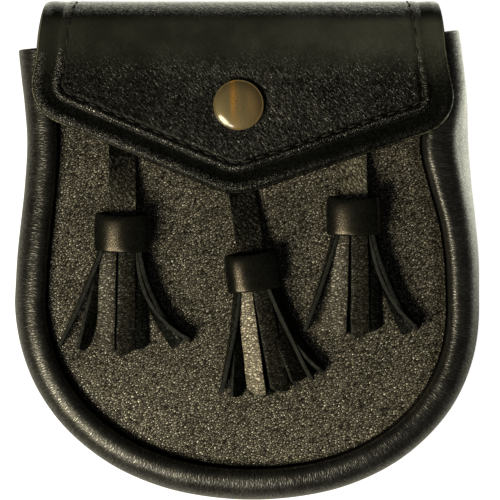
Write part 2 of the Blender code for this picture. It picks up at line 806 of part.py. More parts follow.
def add_belt_loops(collection):
    bridge = LOOP_OUTER + LOOP_LEATHER / 2
    foot = BACK_FACE - GAP - LOOP_LEATHER / 2
    reach = LOOP_BRIDGE / 2
    halves = ((reach + LOOP_RISE + LOOP_FOOT, foot), (reach + LOOP_RISE, foot), (reach, bridge))
    profile = [*halves, *((-along, up) for along, up in reversed(halves))]
    for side, across in zip(("left", "right"), LOOP_ACROSS):
        name = "belt_loop_" + side
        path = [Vector((across, LOOP_HEIGHT + along, up)) for along, up in profile]
        crossings = [Vector((1.0, 0.0, 0.0))] * len(path)
        mesh = to_mesh(name, ribbon(path, crossings, LOOP_WIDTH))
        loop = add_object(name, mesh, collection, "loop_leather")
        solidify(loop, LOOP_LEATHER).use_even_offset = True


def build():
    clear_scene()
    sporran = new_collection("sporran_pouch")
    cutters = new_collection("cutters")
    add_gusset(sporran)
    add_front_panel(sporran)
    add_back_and_flap(sporran, cutters)
    add_snap(sporran)
    add_tassels(sporran, cutters)
    add_belt_loops(sporran)


build()
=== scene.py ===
"""Looks of a three-tassel leather day sporran, lying on its back and seen square from the front.

X runs to the right of the front view, Y up the front and Z out of the front. Lengths are in
millimetres and become metres when a mesh is made.
"""
import math
from collections import namedtuple

import bmesh
import bpy
from mathutils import Matrix, Vector, noise


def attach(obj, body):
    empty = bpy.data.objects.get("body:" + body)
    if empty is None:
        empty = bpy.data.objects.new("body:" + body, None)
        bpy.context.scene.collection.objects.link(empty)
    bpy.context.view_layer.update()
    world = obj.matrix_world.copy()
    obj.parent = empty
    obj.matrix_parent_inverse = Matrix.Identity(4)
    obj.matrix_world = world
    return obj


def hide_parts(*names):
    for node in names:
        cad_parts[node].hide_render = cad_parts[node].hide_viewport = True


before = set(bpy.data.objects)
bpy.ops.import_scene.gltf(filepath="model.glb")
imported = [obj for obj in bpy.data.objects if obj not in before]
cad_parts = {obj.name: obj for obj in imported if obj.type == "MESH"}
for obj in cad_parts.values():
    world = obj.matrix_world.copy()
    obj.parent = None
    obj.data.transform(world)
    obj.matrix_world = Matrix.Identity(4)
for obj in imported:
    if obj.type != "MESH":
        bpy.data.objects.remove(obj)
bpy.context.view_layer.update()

MM = 0.001

# ---- leather, brass and clearances ----
GAP = 0.3                   # between two pieces that touch on the real pouch
FACET_ROOM = 0.2
GUSSET_LEATHER = 1.6
PANEL_LEATHER = 2.0
SHEET_LEATHER = 2.1         # the one hide of the back and the flap
STRAP_LEATHER = 1.6
COLLAR_LEATHER = 1.6
STRIP_LEATHER = 1.55
LOOP_LEATHER = 1.6
CUT_ROUND = 0.28            # cut edges are rounded this much
SHARP = math.radians(60)    # edges of a slab sharper than this are rounded,
CUT_ANGLE = math.radians(55)    # and those of a thickened sheet from here
NET_MERGE = 0.02            # points this near a line of a sheet's net count as on it

# ---- body ----
DEPTH = 38.0                # over the front and back crests of the gusset
MID_DEPTH = DEPTH / 2
WIDEST_HEIGHT = -18.6       # height of the widest line of the body
WIDEST_HALF = 88.8
BOTTOM_DROP = 76.4          # from the widest line down to the lowest point
BOTTOM_POWER = 2.15         # a little fuller than an ellipse
BOTTOM_SHIFT = 2.2          # the lowest point lies this far right of the middle
ROLL_WIDTH = 11.7           # of the gusset's section, from the panel's seam to its outer edge
BOTTOM_ROLL = 12.3          # and round the bottom, where it is a little wider
LEFT_END = 76.4             # heights of the two cut ends of the gusset
RIGHT_END = 84.0
SEAM_SETBACK = 0.9          # the panels stop this far short of the seam groove
PANEL_TOP = 72.0            # height of the panel's open edge under the flap
SIDE_STEP = 2.0
ARC_STEPS = 60              # stations on each half of the rounded bottom

# Half widths of the body above its widest line, and the width of its rolled edge.
Side = namedtuple("Side", "height left right roll_left roll_right")
SIDES = [Side(*row) for row in (
    (84.0, 87.5, 80.9, 12.4, 12.0),
    (76.4, 87.3, 82.1, 12.4, 12.0),
    (65.0, 86.3, 83.7, 12.5, 12.3),
    (57.4, 85.3, 84.4, 12.4, 14.0),
    (42.2, 83.9, 84.7, 12.0, 18.1),
    (27.0, 84.8, 85.9, 12.1, 16.2),
    (11.8, 86.5, 87.4, 12.3, 13.6),
    (-3.4, 87.9, 88.6, 12.2, 12.7),
    (WIDEST_HEIGHT, WIDEST_HALF, WIDEST_HALF, BOTTOM_ROLL, BOTTOM_ROLL),
)]

# Section of the gusset through the middle of its leather: out from the seam groove, and up.
Section = namedtuple("Section", "out up")
GUSSET_SECTION = [Section(*row) for row in (
    (-6.0, 28.3), (-0.4, 28.3), (0.75, 29.5), (0.95, 33.3), (1.6, 36.1), (2.7, 37.0),
    (4.1, 37.2), (7.0, 36.3), (9.4, 33.7), (10.6, 29.0), (10.9, 22.0), (10.9, 16.0),
    (10.6, 9.5), (9.3, 4.8), (7.0, 1.8), (4.4, 0.8), (2.4, 1.5), (1.1, 3.7), (0.75, 7.55),
    (-0.4, 8.7), (-6.0, 8.7),
)]
FLARE_START = 32.0          # where the edge is wide, the wall flares out below its front roll
FLARE_RUN = 17.0
FLARE_ROOT = 0.75
FLARE_SPREAD = 3.0
SHOULDER = (4.0, 8.0)       # and the roll itself takes a share of the width
SHOULDER_SHARE = 0.45
SQUEEZE_REACH = 10.0        # the ends of the gusset flatten over this depth
SQUEEZE_MARGIN = 0.15
GUSSET_SPACING = 1.5        # between stations round the gusset
GUSSET_COLUMNS = 66         # across its section
GUSSET_SWELL = 0.28         # slow unevenness of the hand-turned roll
ROLL_SPAN = (0.0, 4.0)      # out from the seam, where it comes in
ROLL_REST = 0.6             # its mean, against its own height
ROLL_SIZE = 24.0
PUCKER = 0.16               # where the seam gathers the leather
PUCKER_PITCH = 5.2
PUCKER_SEED = 7.0
GATHER_START = (-0.4, 1.1)  # out from the seam, where the gathers come and go
GATHER_END = (5.0, 2.0)

# ---- front panel ----
PANEL_FACE = 31.5           # outer face at the seam
PANEL_DOME = 0.8            # the middle stands this much prouder
DOME_HALF_WIDTH = 76.0
DOME_HALF_HEIGHT = 78.0
DOME_MIDDLE = -5.0
PANEL_RINGS = 8
PANEL_RING = 0.7
PANEL_EDGE_DROP = 1.0       # the seam draws the edge of the panel down
PANEL_CELL = 3.0
PANEL_CORNER = 6.5          # its hidden upper corners are rounded
PANEL_CORNER_ROOM = 8.5     # and that takes at most this much of each edge
PANEL_UNEVEN = 0.12
PANEL_WAVES = 22.0          # size of its slow unevenness
PANEL_SEED = 3.0

# ---- back and flap ----
BACK_FACE = 5.5             # outer face of the back
FLAP_FACE = DEPTH + GAP + FACET_ROOM + SHEET_LEATHER
FOLD_RADIUS = (FLAP_FACE - BACK_FACE - SHEET_LEATHER) / 2
FOLD_MIDDLE = (FLAP_FACE + BACK_FACE) / 2
TOP_EDGE = 95.1
FOLD_HEIGHT = TOP_EDGE - FOLD_RADIUS - SHEET_LEATHER / 2
FOLD_LENGTH = math.pi * FOLD_RADIUS
FOLD_POWER = 2.7            # the fold is squarer than a half circle
FLAP_DIP = 3.3              # the snap draws the middle of the flap in, least at the fold
DIP_HALF_WIDTH = 77.0
DIP_POWER = 1.5
DIP_RUN = 54.0
CORNER_STEPS = 20
TIP_STEPS = 10              # stations on each half of the rounded tip
OUTLINE_SPACING = 1.2
HIDE_RIM = 0.2              # black rim of the cut edge, outside the grain side's painted reflection
HIDE_RINGS = 33
HIDE_RING = 0.4
HIDE_CELL = 2.0
HIDE_UNEVEN = 0.1
HIDE_WAVES = 17.0
HIDE_SEED = 5.0
WAVES_START = (6.0, 12.0)

# Corners of the flap before rounding, down the left side and up the right.
Corner = namedtuple("Corner", "across height radius")
LEFT_CORNER = Corner(-82.9, 54.4, 15.0)
TIP_CORNER = Corner(-4.7, 21.3, 22.0)
RIGHT_CORNER = Corner(79.2, 49.3, 14.0)

# Side edges of the hide, measured along it from the flap's tip over the fold.
Edge = namedtuple("Edge", "along left right")
FOLD_EDGES = [Edge(70.0, -79.9, 75.8), *(
    Edge(FOLD_HEIGHT + FOLD_LENGTH * share, left, right) for share, left, right in (
        (0.0, -79.0, 74.7), (0.25, -77.0, 73.0), (0.5, -74.8, 71.2), (0.75, -74.0, 70.4),
        (1.0, -73.7, 70.0),
    ))]
FOLD_STEPS = 34

# Creased border of the flap: in from the cut edge, and the rise of the leather there.
Crease = namedtuple("Crease", "inset rise")
CREASES = [Crease(*row) for row in (
    (0.0, -0.85), (0.3, -0.25), (0.7, 0.08), (1.6, 0.34), (2.6, 0.3), (3.8, 0.02), (5.2, -0.32),
    (6.4, -0.55), (7.3, -0.53), (8.0, -0.38), (8.5, 0.08), (8.9, 0.4), (9.4, 0.44), (10.0, 0.0),
    (10.6, -0.65), (11.1, -0.6), (11.8, -0.12), (12.8, 0.05), (13.2, 0.0),
)]
CREASE_END = FOLD_HEIGHT + FOLD_LENGTH * 0.5    # the creases fade over the back of the fold
CREASE_FADE = 16.0
BORDER_FADE = (54.0, 74.0)      # and the border is flatter near the fold, most outside its groove
BORDER_KEPT = 0.2
GROOVE_KEPT = 0.35
GROOVE_START = (9.7, 10.5)

# ---- stitches of the flap's border ----
STITCH_INSET = 10.7
STITCH_PITCH = 5.3
STITCH_LENGTH = 4.3
STITCH_RADIUS = 0.42
STITCH_RISE = -0.2          # middle of the thread, from the leather's face
STITCH_FLAT = 1.25          # its ends are cut off square
STITCH_SINK = 0.5           # and thin out and sink into their holes
STITCH_SIDES = 8
STITCH_RINGS = 6
HOLE_DEPTH = 0.3
HOLE_REACH = 0.9

# ---- snap ----
SNAP_ACROSS = -3.2
SNAP_HEIGHT = 55.3
CAP_RADIUS = 9.6
CAP_RISE = 3.5
CAP_SQUARED = 1.2           # its foot follows the slope of the flap, and its dome does not
CAP_SQUARE = (0.4, 1.5)
CAP_STEPS = 96
CAP_MERGE = 0.0005
CAP_ROUND = 0.08
BARREL_RADIUS = 3.2
SOCKET_RADIUS = 5.4
SOCKET_PLATE = 0.6
STUD_BORE = 2.5
BORE_TOP = -0.6             # from the flap's face
SNAP_PRESS = 0.3            # the cap presses the leather in
PRESS_SPAN = (CAP_RADIUS, 14.0)

# Shallow dome of the cap and its rolled rim, as radius and drop from the top, and then its foot,
# as radius and height over the flap.
CAP_DOME = [*((radius, CAP_RISE - drop) for radius, drop in (
    (0.0, 0.0), (2.5, 0.03), (5.0, 0.19), (6.0, 0.33), (6.8, 0.5), (7.5, 0.71), (8.1, 0.94),
    (8.6, 1.16), (8.9, 1.33), (9.05, 1.4), (9.35, 1.26), (9.48, 1.32), (9.56, 1.5),
    (CAP_RADIUS, 1.85),
)), (9.5, GAP + 0.12), (9.25, GAP)]

# ---- tassels ----
COLLAR_HALF_WIDTH = 10.75
COLLAR_HALF_HEIGHT = 4.05
COLLAR_CROWN = 2.0                  # its front is this much rounder than its back
COLLAR_LENGTH = 14.8
COLLAR_STEPS = 72
COLLAR_ROOM = 0.1                   # for the bulge of its wall
COLLAR_TAPER = 0.035                # its upper rim draws in
TAPER_START = 11.5                  # along it, from its lower rim
TAPER_RUN = 3.3
COLLAR_DIP = 0.05                   # and that rim is lower in front
HEAD_HALF_WIDTH = 8.6
HEAD_HALF_HEIGHT = 2.1
HEAD_TOP = -7.0                     # along the tassel, from the collar's lower rim
HEAD_BOTTOM = 0.2
HEAD_SIDES = 32
STRAP_WIDTH = 10.4
STRAP_END = -8.0                    # inside the collar
STRAP_ROWS = 60
STRAP_COLUMNS = 10
TWIST_START = -4.0                  # a strap twists from here, measured from the flap's edge,
TWIST_RUN = 8.0                     # and lies flat again at the collar
TWIST_END = 3.0
STRIP_WIDTH = 6.3
STRIP_SPREAD = 0.18                 # it is this much wider at its tip
STRIP_START = -1.0
STRIP_ROWS = 40
STRIP_COLUMNS = 6
STRIP_SETTLE = 0.8                  # share of its length over which a strip comes to rest
STRIP_CUP = 0.35                    # the grain side of a strip is a little rounded
CUP_MIDDLE = 0.33
STRIP_WAVE = 0.45
WAVE_SIZE = 9.0
STRIP_SEED = 3.7                    # from one strip's unevenness to the next
TIP_ROUND = 1.1
TIP_SLANT = 1.6
TIP_POWER = 6

# Wall of the collar, as a closed loop: out from the middle of its leather, and along it.
Wall = namedtuple("Wall", "out along")
COLLAR_WALL = [Wall(*row) for row in (
    (0.55, 0.12), (0.8, 0.6), (0.88, 3.0), (0.9, 7.0), (0.88, 11.5), (0.7, 13.9), (0.3, 14.68),
    (-0.1, 14.8), (-0.6, 14.5), (-0.8, 13.6), (-0.8, 7.0), (-0.8, 0.8), (-0.5, 0.1), (0.0, 0.0),
)]

# Tassel frames: middle of the collar's lower rim, lean of the lower end to the right, the strap's
# length above that rim, and how much of it the flap covers. A strap has its twist in degrees and
# its painted light and shade: how pale its dye is painted at the flap and at the collar. The front
# of a skewed collar stands prouder on its right, and a tilted one has its upper end clear of the
# panel.
Tassel = namedtuple("Tassel", "name across height lean strap_length covered twist_top twist_low"
                              " tone_top tone_low skew tilt")
TASSELS = (
    Tassel("left", -47.2, 0.0, 0.0, 52.0, 13.0, -14, 4, -0.15, 0.42, 0.1, math.radians(8.5)),
    Tassel("center", 3.4, -14.8, math.radians(8.0), 57.0, 18.5, -12, -8, 0.0, 0.08, -0.03,
           math.radians(5.5)),
    Tassel("right", 40.8, 6.3, math.radians(1.0), 42.0, 11.5, 6, 6, 0.8, 1.0, 0.1,
           math.radians(6.5)),
)

# Strips of each fringe. root, tip: across the tassel; length: below the collar; curl: how late
# it swings out; lift: rise at the root; turn: degrees from lying flat to standing on edge;
# stack: what it lies on at the tip; tone: its painted light and shade, how pale its dye is
# painted.
Strip = namedtuple("Strip", "root tip length curl lift turn_root turn_tip stack tone")
STRIPS = {name: [Strip(*row) for row in rows] for name, rows in {
    "left": (
        (-8.0, -23.6, 36.3, 1.08, 0.2, 84, 93, 0.0, 0.02),
        (-6.0, -15.0, 37.6, 1.1, -1.2, -28, -60, 0.0, 0.02),
        (-5.2, -6.6, 37.8, 1.0, 2.0, 10, 12, 2.2, 0.2),
        (1.8, 1.2, 39.3, 1.0, 1.9, -7, -9, 1.4, 0.06),
        (0.0, -3.2, 38.0, 1.0, -1.5, 0, -8, 0.0, 0.0),
        (5.0, 6.3, 37.4, 1.3, -0.9, -10, -8, 0.0, 0.0),
        (6.0, 20.5, 36.3, 1.8, 0.5, 84, 52, 0.0, 0.0),
        (7.4, 26.0, 34.4, 2.6, -0.3, -60, -72, 0.0, 0.02),
    ),
    "center": (
        (-7.2, -18.4, 36.9, 1.2, 0.0, 72, 90, 0.0, 0.02),
        (-4.8, -12.2, 39.0, 1.1, -0.9, -20, -48, 0.0, 0.0),
        (-4.3, -5.1, 39.3, 1.0, 2.0, 17, 20, 2.2, 1.0),
        (0.3, 0.0, 40.3, 1.0, -1.4, 0, 4, 0.0, 0.0),
        (1.9, 4.0, 39.5, 1.1, 2.0, -10, -14, 1.7, 0.06),
        (5.0, 11.7, 36.6, 1.3, -0.8, -12, -28, 0.0, 0.02),
        (5.9, 16.6, 36.8, 1.1, 0.6, -66, -86, 0.0, 0.02),
        (7.3, 20.6, 34.2, 1.7, -0.3, -52, -66, 0.0, 0.02),
    ),
    "right": (
        (-7.2, -19.4, 36.4, 1.1, 0.1, 74, 93, 0.0, 0.02),
        (-4.8, -11.8, 36.5, 1.1, 0.0, 14, 18, 0.0, 0.24),
        (-4.9, -7.2, 37.5, 1.0, 2.0, 12, 13, 2.0, 0.3),
        (1.8, 1.6, 39.1, 1.0, 1.9, -8, -9, 1.5, 0.09),
        (-0.4, -2.4, 37.8, 1.0, -1.5, 0, -6, 0.0, 0.0),
        (5.0, 6.2, 36.9, 1.2, -0.9, -10, -8, 0.0, 0.0),
        (6.1, 19.2, 38.0, 1.4, 0.5, 82, 60, 0.0, 0.0),
        (7.5, 23.4, 36.5, 2.0, -0.3, -66, -72, 0.0, 0.02),
    ),
}.items()}

# ---- belt loops on the back ----
LOOP_ACROSS = (-38.0, 34.0)
LOOP_HEIGHT = 44.0
LOOP_WIDTH = 22.0
LOOP_FOOT = 8.0             # sewn to the back at each end
LOOP_RISE = 4.0             # run of the slope between a foot and the bridge
LOOP_BRIDGE = 27.0
LOOP_OUTER = 0.4            # the bridge's outer face
LOOP_ROWS = 60
LOOP_COLUMNS = 16

# ---- camera, floor and light ----
VIEW_ACROSS = 1.14          # middle of the photographed frame
VIEW_HEIGHT = 0.38
VIEW_WIDTH = 190.0
VIEW_PLANE = 30.0           # depth at which the frame is that wide
CAMERA_DISTANCE = 2500.0
CAMERA_REACH = 20000.0
SENSOR = 36.0
FLOOR_HALF = 3000.0
FLOOR_DROP = 0.1
FLOOR_GREY = (0.25, 0.25, 0.25)
FLOOR_ROUGH = 0.9
GLOW_WAY = (0.45, 0.89, 0.0)    # the floor glows, lighting the pouch, brightest beyond the fold
GLOW_RUN = (15.0, 80.0)
GLOW = (0.35, 2.7)
GLOW_REACH = (95.0, 300.0)      # and fades away from the pouch
GLOW_FAR = 0.3
GLOW_COLOR = (1.0, 1.0, 0.82)
WORLD_COLOR = (1.0, 0.98, 0.94, 1.0)
WORLD_STRENGTH = 0.06
LAMP_DISTANCE = 900.0

Lamp = namedtuple("Lamp", "name azimuth elevation size power color")
LAMPS = (
    Lamp("key", 219, 46, 400, 11.5, (1.0, 0.90, 0.62)),
    Lamp("low", 246, 46, 170, 1.7, (1.0, 0.95, 0.8)),
)


# ---- small helpers ----

def smooth_step(value):
    value = min(1.0, max(0.0, value))
    return value * value * (3 - 2 * value)


def passage(value, span):
    """How far a value has gone from one end of a span to the other, smoothly."""
    return smooth_step((value - span[0]) / (span[1] - span[0]))


def read_table(rows, key, column, position):
    """Value of a column at a position between the rows, as a smooth curve through them."""
    rows = sorted(rows, key=lambda row: getattr(row, key))
    places = [getattr(row, key) for row in rows]
    values = [getattr(row, column) for row in rows]
    position = min(places[-1], max(places[0], position))
    last = len(rows) - 2
    start = next(i for i in range(last + 1) if position <= places[i + 1] or i == last)

    def slope(i):
        low = max(0, i - 1)
        high = min(len(rows) - 1, i + 1)
        return (values[high] - values[low]) / (places[high] - places[low])

    span = places[start + 1] - places[start]
    t = (position - places[start]) / span
    rise = values[start + 1] - values[start]
    first = slope(start) * span - rise
    second = -slope(start + 1) * span + rise
    return values[start] + rise * t + t * (1 - t) * (first * (1 - t) + second * t)


def resample(points, spacing, closed=False):
    """Evenly spaced points along a chain; only the first two values of each count as length."""
    chain = [*points, points[0]] if closed else list(points)
    lengths = [0.0]
    for near, far in zip(chain, chain[1:]):
        lengths.append(lengths[-1] + (far - near).xy.length)
    count = max(1, round(lengths[-1] / spacing))
    picked = []
    segment = 0
    for step in range(count if closed else count + 1):
        target = lengths[-1] * step / count
        while segment < len(chain) - 2 and lengths[segment + 1] < target:
            segment += 1
        span = lengths[segment + 1] - lengths[segment]
        share = (target - lengths[segment]) / span if span else 0.0
        picked.append(chain[segment].lerp(chain[segment + 1], share))
    return picked


def uneven(place, size, seed=0.0):
    """Soft noise of about -1 to 1 for the small irregularities of hand work."""
    return noise.noise(Vector((place[0] / size, place[1] / size, seed)))


# ---- meshes and pieces ----

def add_uv(bm, scale=MM):
    """The flat place of each corner, in metres, as the UV map that the grain follows."""
    layer = bm.loops.layers.uv.new("flat")
    for face in bm.faces:
        for loop in face.loops:
            loop[layer].uv = loop.vert.co.xy * scale


def flat_grid(bm, columns, rows, width, length):
    """Grid of some width and length, with one corner at the origin."""
    bmesh.ops.create_grid(bm, x_segments=columns, y_segments=rows, size=0.5)
    bmesh.ops.translate(bm, verts=bm.verts, vec=(0.5, 0.5, 0.0))
    bmesh.ops.scale(bm, verts=bm.verts, vec=(width, length, 1.0))


def mapped_grid(columns, rows, width, length, place):
    """Sheet whose place(across, along) gives the point in space, both from 0 to 1."""
    bm = bmesh.new()
    flat_grid(bm, columns, rows, width, length)
    add_uv(bm)
    for vert in bm.verts:
        vert.co = place(vert.co.x / width, vert.co.y / length)
    return bm


def slab(columns, rows, width, length, place, tone=0.0, far_tone=None):
    """Closed slab; place(across, along, side) gives the point on either face, side -1 or 1.

    The layer "tone" holds its painted light and shade: how pale its dye is painted along it.
    """
    bm = bmesh.new()
    tones = bm.verts.layers.float.new("tone")
    far_tone = tone if far_tone is None else far_tone
    flat_grid(bm, columns, rows, width, length)
    under = list(bm.faces)
    raised = bmesh.ops.extrude_face_region(bm, geom=under, use_keep_orig=True)["geom"]
    top = [item for item in raised if isinstance(item, bmesh.types.BMFace)]
    bmesh.ops.translate(bm, verts=list({v for face in top for v in face.verts}),
                        vec=(0.0, 0.0, 1.0))
    add_uv(bm)
    grain = set(top)
    for face in bm.faces:
        face.material_index = 0 if face in grain else 1
    for vert in bm.verts:
        vert[tones] = tone + (far_tone - tone) * smooth_step(vert.co.y / length)
        vert.co = place(vert.co.x / width, vert.co.y / length, vert.co.z * 2 - 1)
    bmesh.ops.recalc_face_normals(bm, faces=bm.faces)
    return bm


def round_edges(bm, offset=CUT_ROUND):
    sharp = [edge for edge in bm.edges
             if len(edge.link_faces) == 2 and edge.calc_face_angle(0.0) > SHARP]
    bmesh.ops.bevel(bm, geom=sharp, affect="EDGES", offset=offset, segments=2, profile=0.5,
                    material=-1, clamp_overlap=True)


def new_mesh(name, bm):
    """Mesh from a bmesh, which is freed."""
    mesh = bpy.data.meshes.new(name)
    bm.to_mesh(mesh)
    bm.free()
    return mesh


def new_object(name, data):
    made = bpy.data.objects.new(name, data)
    bpy.context.scene.collection.objects.link(made)
    return made


def add_piece(name, bm, materials, nodes=()):
    """Finished piece from a mesh in millimetres, riding on the pouch."""
    bmesh.ops.scale(bm, vec=(MM, MM, MM), verts=bm.verts)
    mesh = new_mesh(name, bm)
    for material in materials:
        mesh.materials.append(material)
    mesh.shade_smooth()
    piece = new_object(name, mesh)
    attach(piece, "root")
    if nodes:
        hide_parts(*nodes)
    return piece


def add_leather(node, bm, materials):
    """Leather piece in the place of the CAD node of its name."""
    return add_piece(node + "_leather", bm, materials, [node])


def add_thickness(piece, thickness, offset=0.0):
    """Leather of one thickness: the second material is its flesh side, the third its cut edge."""
    shell = piece.modifiers.new("leather", "SOLIDIFY")
    shell.thickness = thickness * MM
    shell.offset = offset
    shell.material_offset = 1
    shell.material_offset_rim = 2
    rounding = piece.modifiers.new("cut_edge", "BEVEL")
    rounding.width = CUT_ROUND * MM
    rounding.segments = 2
    rounding.limit_method = "ANGLE"
    rounding.angle_limit = CUT_ANGLE


def bordered_sheet(outline, rings, ring_width, cell):
    """Flat sheet with rings along its edge and a square net inside them.

    The layer "inset" holds how far in from the edge each point of the rings lies.
    """
    bm = bmesh.new()
    inset = bm.verts.layers.float.new("inset")
    bm.faces.new([bm.verts.new((point.x, point.y, 0.0)) for point in outline])
    bm.faces.ensure_lookup_table()
    field = bm.faces[0]
    bm.normal_update()
    if field.normal.z < 0:
        field.normal_flip()
        bm.normal_update()
    for ring in range(1, rings + 1):
        bmesh.ops.inset_region(bm, faces=[field], thickness=ring_width, use_even_offset=True,
                               use_boundary=True)
        for vert in field.verts:
            vert[inset] = ring * ring_width
    geometry = [field, *field.edges, *field.verts]
    for axis, normal in enumerate((Vector((1.0, 0.0, 0.0)), Vector((0.0, 1.0, 0.0)))):
        places = [point[axis] for point in outline]
        cut = min(places) + cell
        while cut < max(places):
            geometry = bmesh.ops.bisect_plane(bm, geom=geometry, plane_co=normal * cut,
                                              plane_no=normal, dist=NET_MERGE)["geom"]
            cut += cell
    add_uv(bm)
    return bm, inset


# ---- outline of the body ----

def side_name(side):
    return "left" if side < 0 else "right"


def body_side(side):
    """Points down one side, from its cut end to the start of the bottom point."""
    name = side_name(side)
    height = LEFT_END if side < 0 else RIGHT_END
    rows = []
    while height > WIDEST_HEIGHT + SIDE_STEP / 2:
        half = read_table(SIDES, "height", name, height)
        roll = read_table(SIDES, "height", "roll_" + name, height)
        rows.append(Vector((side * half, height, roll)))
        height -= SIDE_STEP
    for step in range(ARC_STEPS):
        angle = math.pi / 2 * step / ARC_STEPS
        across = WIDEST_HALF * math.cos(angle) ** (2 / BOTTOM_POWER)
        drop = math.sin(angle) ** (2 / BOTTOM_POWER)
        rows.append(Vector((side * across + BOTTOM_SHIFT * drop,
                            WIDEST_HEIGHT - BOTTOM_DROP * drop, BOTTOM_ROLL)))
    return rows


Station = namedtuple("Station", "point outward roll")


def body_stations(spacing):
    """Stations round the gusset, from its left end by the bottom to its right end."""
    bottom = Vector((BOTTOM_SHIFT, WIDEST_HEIGHT - BOTTOM_DROP, BOTTOM_ROLL))
    rows = resample([*body_side(-1), bottom, *reversed(body_side(1))], spacing)
    stations = []
    for i, row in enumerate(rows):
        before = rows[max(0, i - 1)]
        after = rows[min(len(rows) - 1, i + 1)]
        along = (after - before).xy.normalized()
        stations.append(Station(row.xy, Vector((along.y, -along.x)), row.z))
    return stations


def panel_edge(station):
    return station.point - station.outward * (station.roll + SEAM_SETBACK)


def panel_chains():
    """Bottom point of a panel, and its left and right edges upwards."""
    inner = [panel_edge(s) for s in body_stations(OUTLINE_SPACING) if s.point.y <= PANEL_TOP]
    lowest = min(range(len(inner)), key=lambda i: inner[i].y)
    return inner[lowest], inner[lowest - 1::-1], inner[lowest + 1:]


# ---- gusset ----

def squeeze(up, height):
    """Depth of a section point where the ends of the gusset pass under the fold."""
    inner = FOLD_RADIUS - SHEET_LEATHER / 2
    rise = max(0.0, height - FOLD_HEIGHT)
    drop = 0.0
    if rise:
        drop = inner - math.sqrt(inner ** 2 - rise ** 2) + SQUEEZE_MARGIN
    away = up - MID_DEPTH
    weight = min(1.0, abs(away) / SQUEEZE_REACH)
    return up - math.copysign(drop * weight, away)


def smooth_section(count):
    """The gusset's section as a fine curve."""
    At = namedtuple("At", "distance out up")
    rows = [At(0.0, *GUSSET_SECTION[0])]
    for near, far in zip(GUSSET_SECTION, GUSSET_SECTION[1:]):
        step = math.hypot(far.out - near.out, far.up - near.up)
        rows.append(At(rows[-1].distance + step, *far))
    length = rows[-1].distance
    section = []
    for i in range(count + 1):
        place = length * i / count
        section.append(Section(read_table(rows, "distance", "out", place),
                               read_table(rows, "distance", "up", place)))
    return section, length


def add_gusset(materials):
    stations = body_stations(GUSSET_SPACING)
    section, width = smooth_section(GUSSET_COLUMNS)
    rows = len(stations) - 1
    length = rows * GUSSET_SPACING

    def place(across, along):
        spot = section[round(across * GUSSET_COLUMNS)]
        station = stations[round(along * rows)]
        way = along * length
        flare = min(1.0, max(0.0, (FLARE_START - spot.up) / FLARE_RUN))
        flare *= smooth_step((spot.out - FLARE_ROOT) / FLARE_SPREAD)
        near_seam = passage(spot.out, GATHER_START) * passage(spot.out, GATHER_END)
        share = SHOULDER_SHARE * passage(spot.out, SHOULDER) + (1 - SHOULDER_SHARE) * flare
        out = spot.out + (station.roll - ROLL_WIDTH) * share
        swell = ROLL_REST + uneven((way, spot.up), ROLL_SIZE)
        out -= GUSSET_SWELL * passage(spot.out, ROLL_SPAN) * swell
        gather = uneven((way, 0.0), PUCKER_PITCH / 2, PUCKER_SEED)
        up = spot.up + math.copysign(PUCKER * near_seam * gather, spot.up - MID_DEPTH)
        point = station.point - station.outward * (station.roll - out)
        return point.x, point.y, squeeze(up, station.point.y)

    bm = mapped_grid(GUSSET_COLUMNS, rows, width, length, place)
    piece = add_leather("gusset", bm, materials)
    add_thickness(piece, GUSSET_LEATHER)


# ---- front panel ----

def panel_height(across, height):
    """Outer face of the front panel."""
    reach = (across / DOME_HALF_WIDTH) ** 2 + ((height - DOME_MIDDLE) / DOME_HALF_HEIGHT) ** 2
    return PANEL_FACE + PANEL_DOME * max(0.0, 1 - reach)


def round_end(chain, other):
    """Edge of the panel whose upper corner gives way to an arc towards the other edge."""
    corner = Corner(*chain[-1].xy, PANEL_CORNER)
    kept = [point for point in chain if (point - chain[-1]).length > PANEL_CORNER_ROOM]
    return [*kept, *rounded_corner(kept[-1], corner, other[-1], CORNER_STEPS)]


def add_front_panel(materials):
    bottom, left, right = panel_chains()
    outline = resample([bottom, *round_end(left, right), *reversed(round_end(right, left))],
                       OUTLINE_SPACING, closed=True)
    bm, inset = bordered_sheet(outline, PANEL_RINGS, PANEL_RING, PANEL_CELL)
    border = PANEL_RINGS * PANEL_RING
    for vert in bm.verts:
        inner = smooth_step(vert[inset] / border)
        drop = PANEL_EDGE_DROP * (1 - inner) ** 2
        soft = PANEL_UNEVEN * uneven(vert.co, PANEL_WAVES, PANEL_SEED) * inner
        vert.co.z = panel_height(vert.co.x, vert.co.y) - drop - abs(soft)
    piece = add_leather("front_panel", bm, materials)
    add_thickness(piece, PANEL_LEATHER, -1.0)


# ---- back and flap ----

def flap_dip(across, height):
    span = max(0.0, 1 - (across / DIP_HALF_WIDTH) ** 2)
    return FLAP_DIP * span ** DIP_POWER * smooth_step((FOLD_HEIGHT - height) / DIP_RUN)


def snap_tilt():
    """Slope of the flap up to the fold at the snap."""
    low = flap_dip(SNAP_ACROSS, SNAP_HEIGHT - CAP_RADIUS)
    high = flap_dip(SNAP_ACROSS, SNAP_HEIGHT + CAP_RADIUS)
    return math.atan((low - high) / (2 * CAP_RADIUS))


def hide_point(across, along, rise):
    """Point of the hide, from its place on the flat leather and its rise above the middle."""
    turned = along - FOLD_HEIGHT
    if turned <= 0:
        middle = FLAP_FACE - SHEET_LEATHER / 2 - flap_dip(across, along)
        return across, along, middle + rise
    if turned < FOLD_LENGTH:
        angle = turned / FOLD_RADIUS
        radius = FOLD_RADIUS + rise
        up = math.sin(angle) ** (2 / FOLD_POWER)
        out = math.copysign(abs(math.cos(angle)) ** (2 / FOLD_POWER), math.cos(angle))
        return across, FOLD_HEIGHT + radius * up, FOLD_MIDDLE + radius * out
    return (across, FOLD_HEIGHT - (turned - FOLD_LENGTH),
            BACK_FACE + SHEET_LEATHER / 2 - rise)


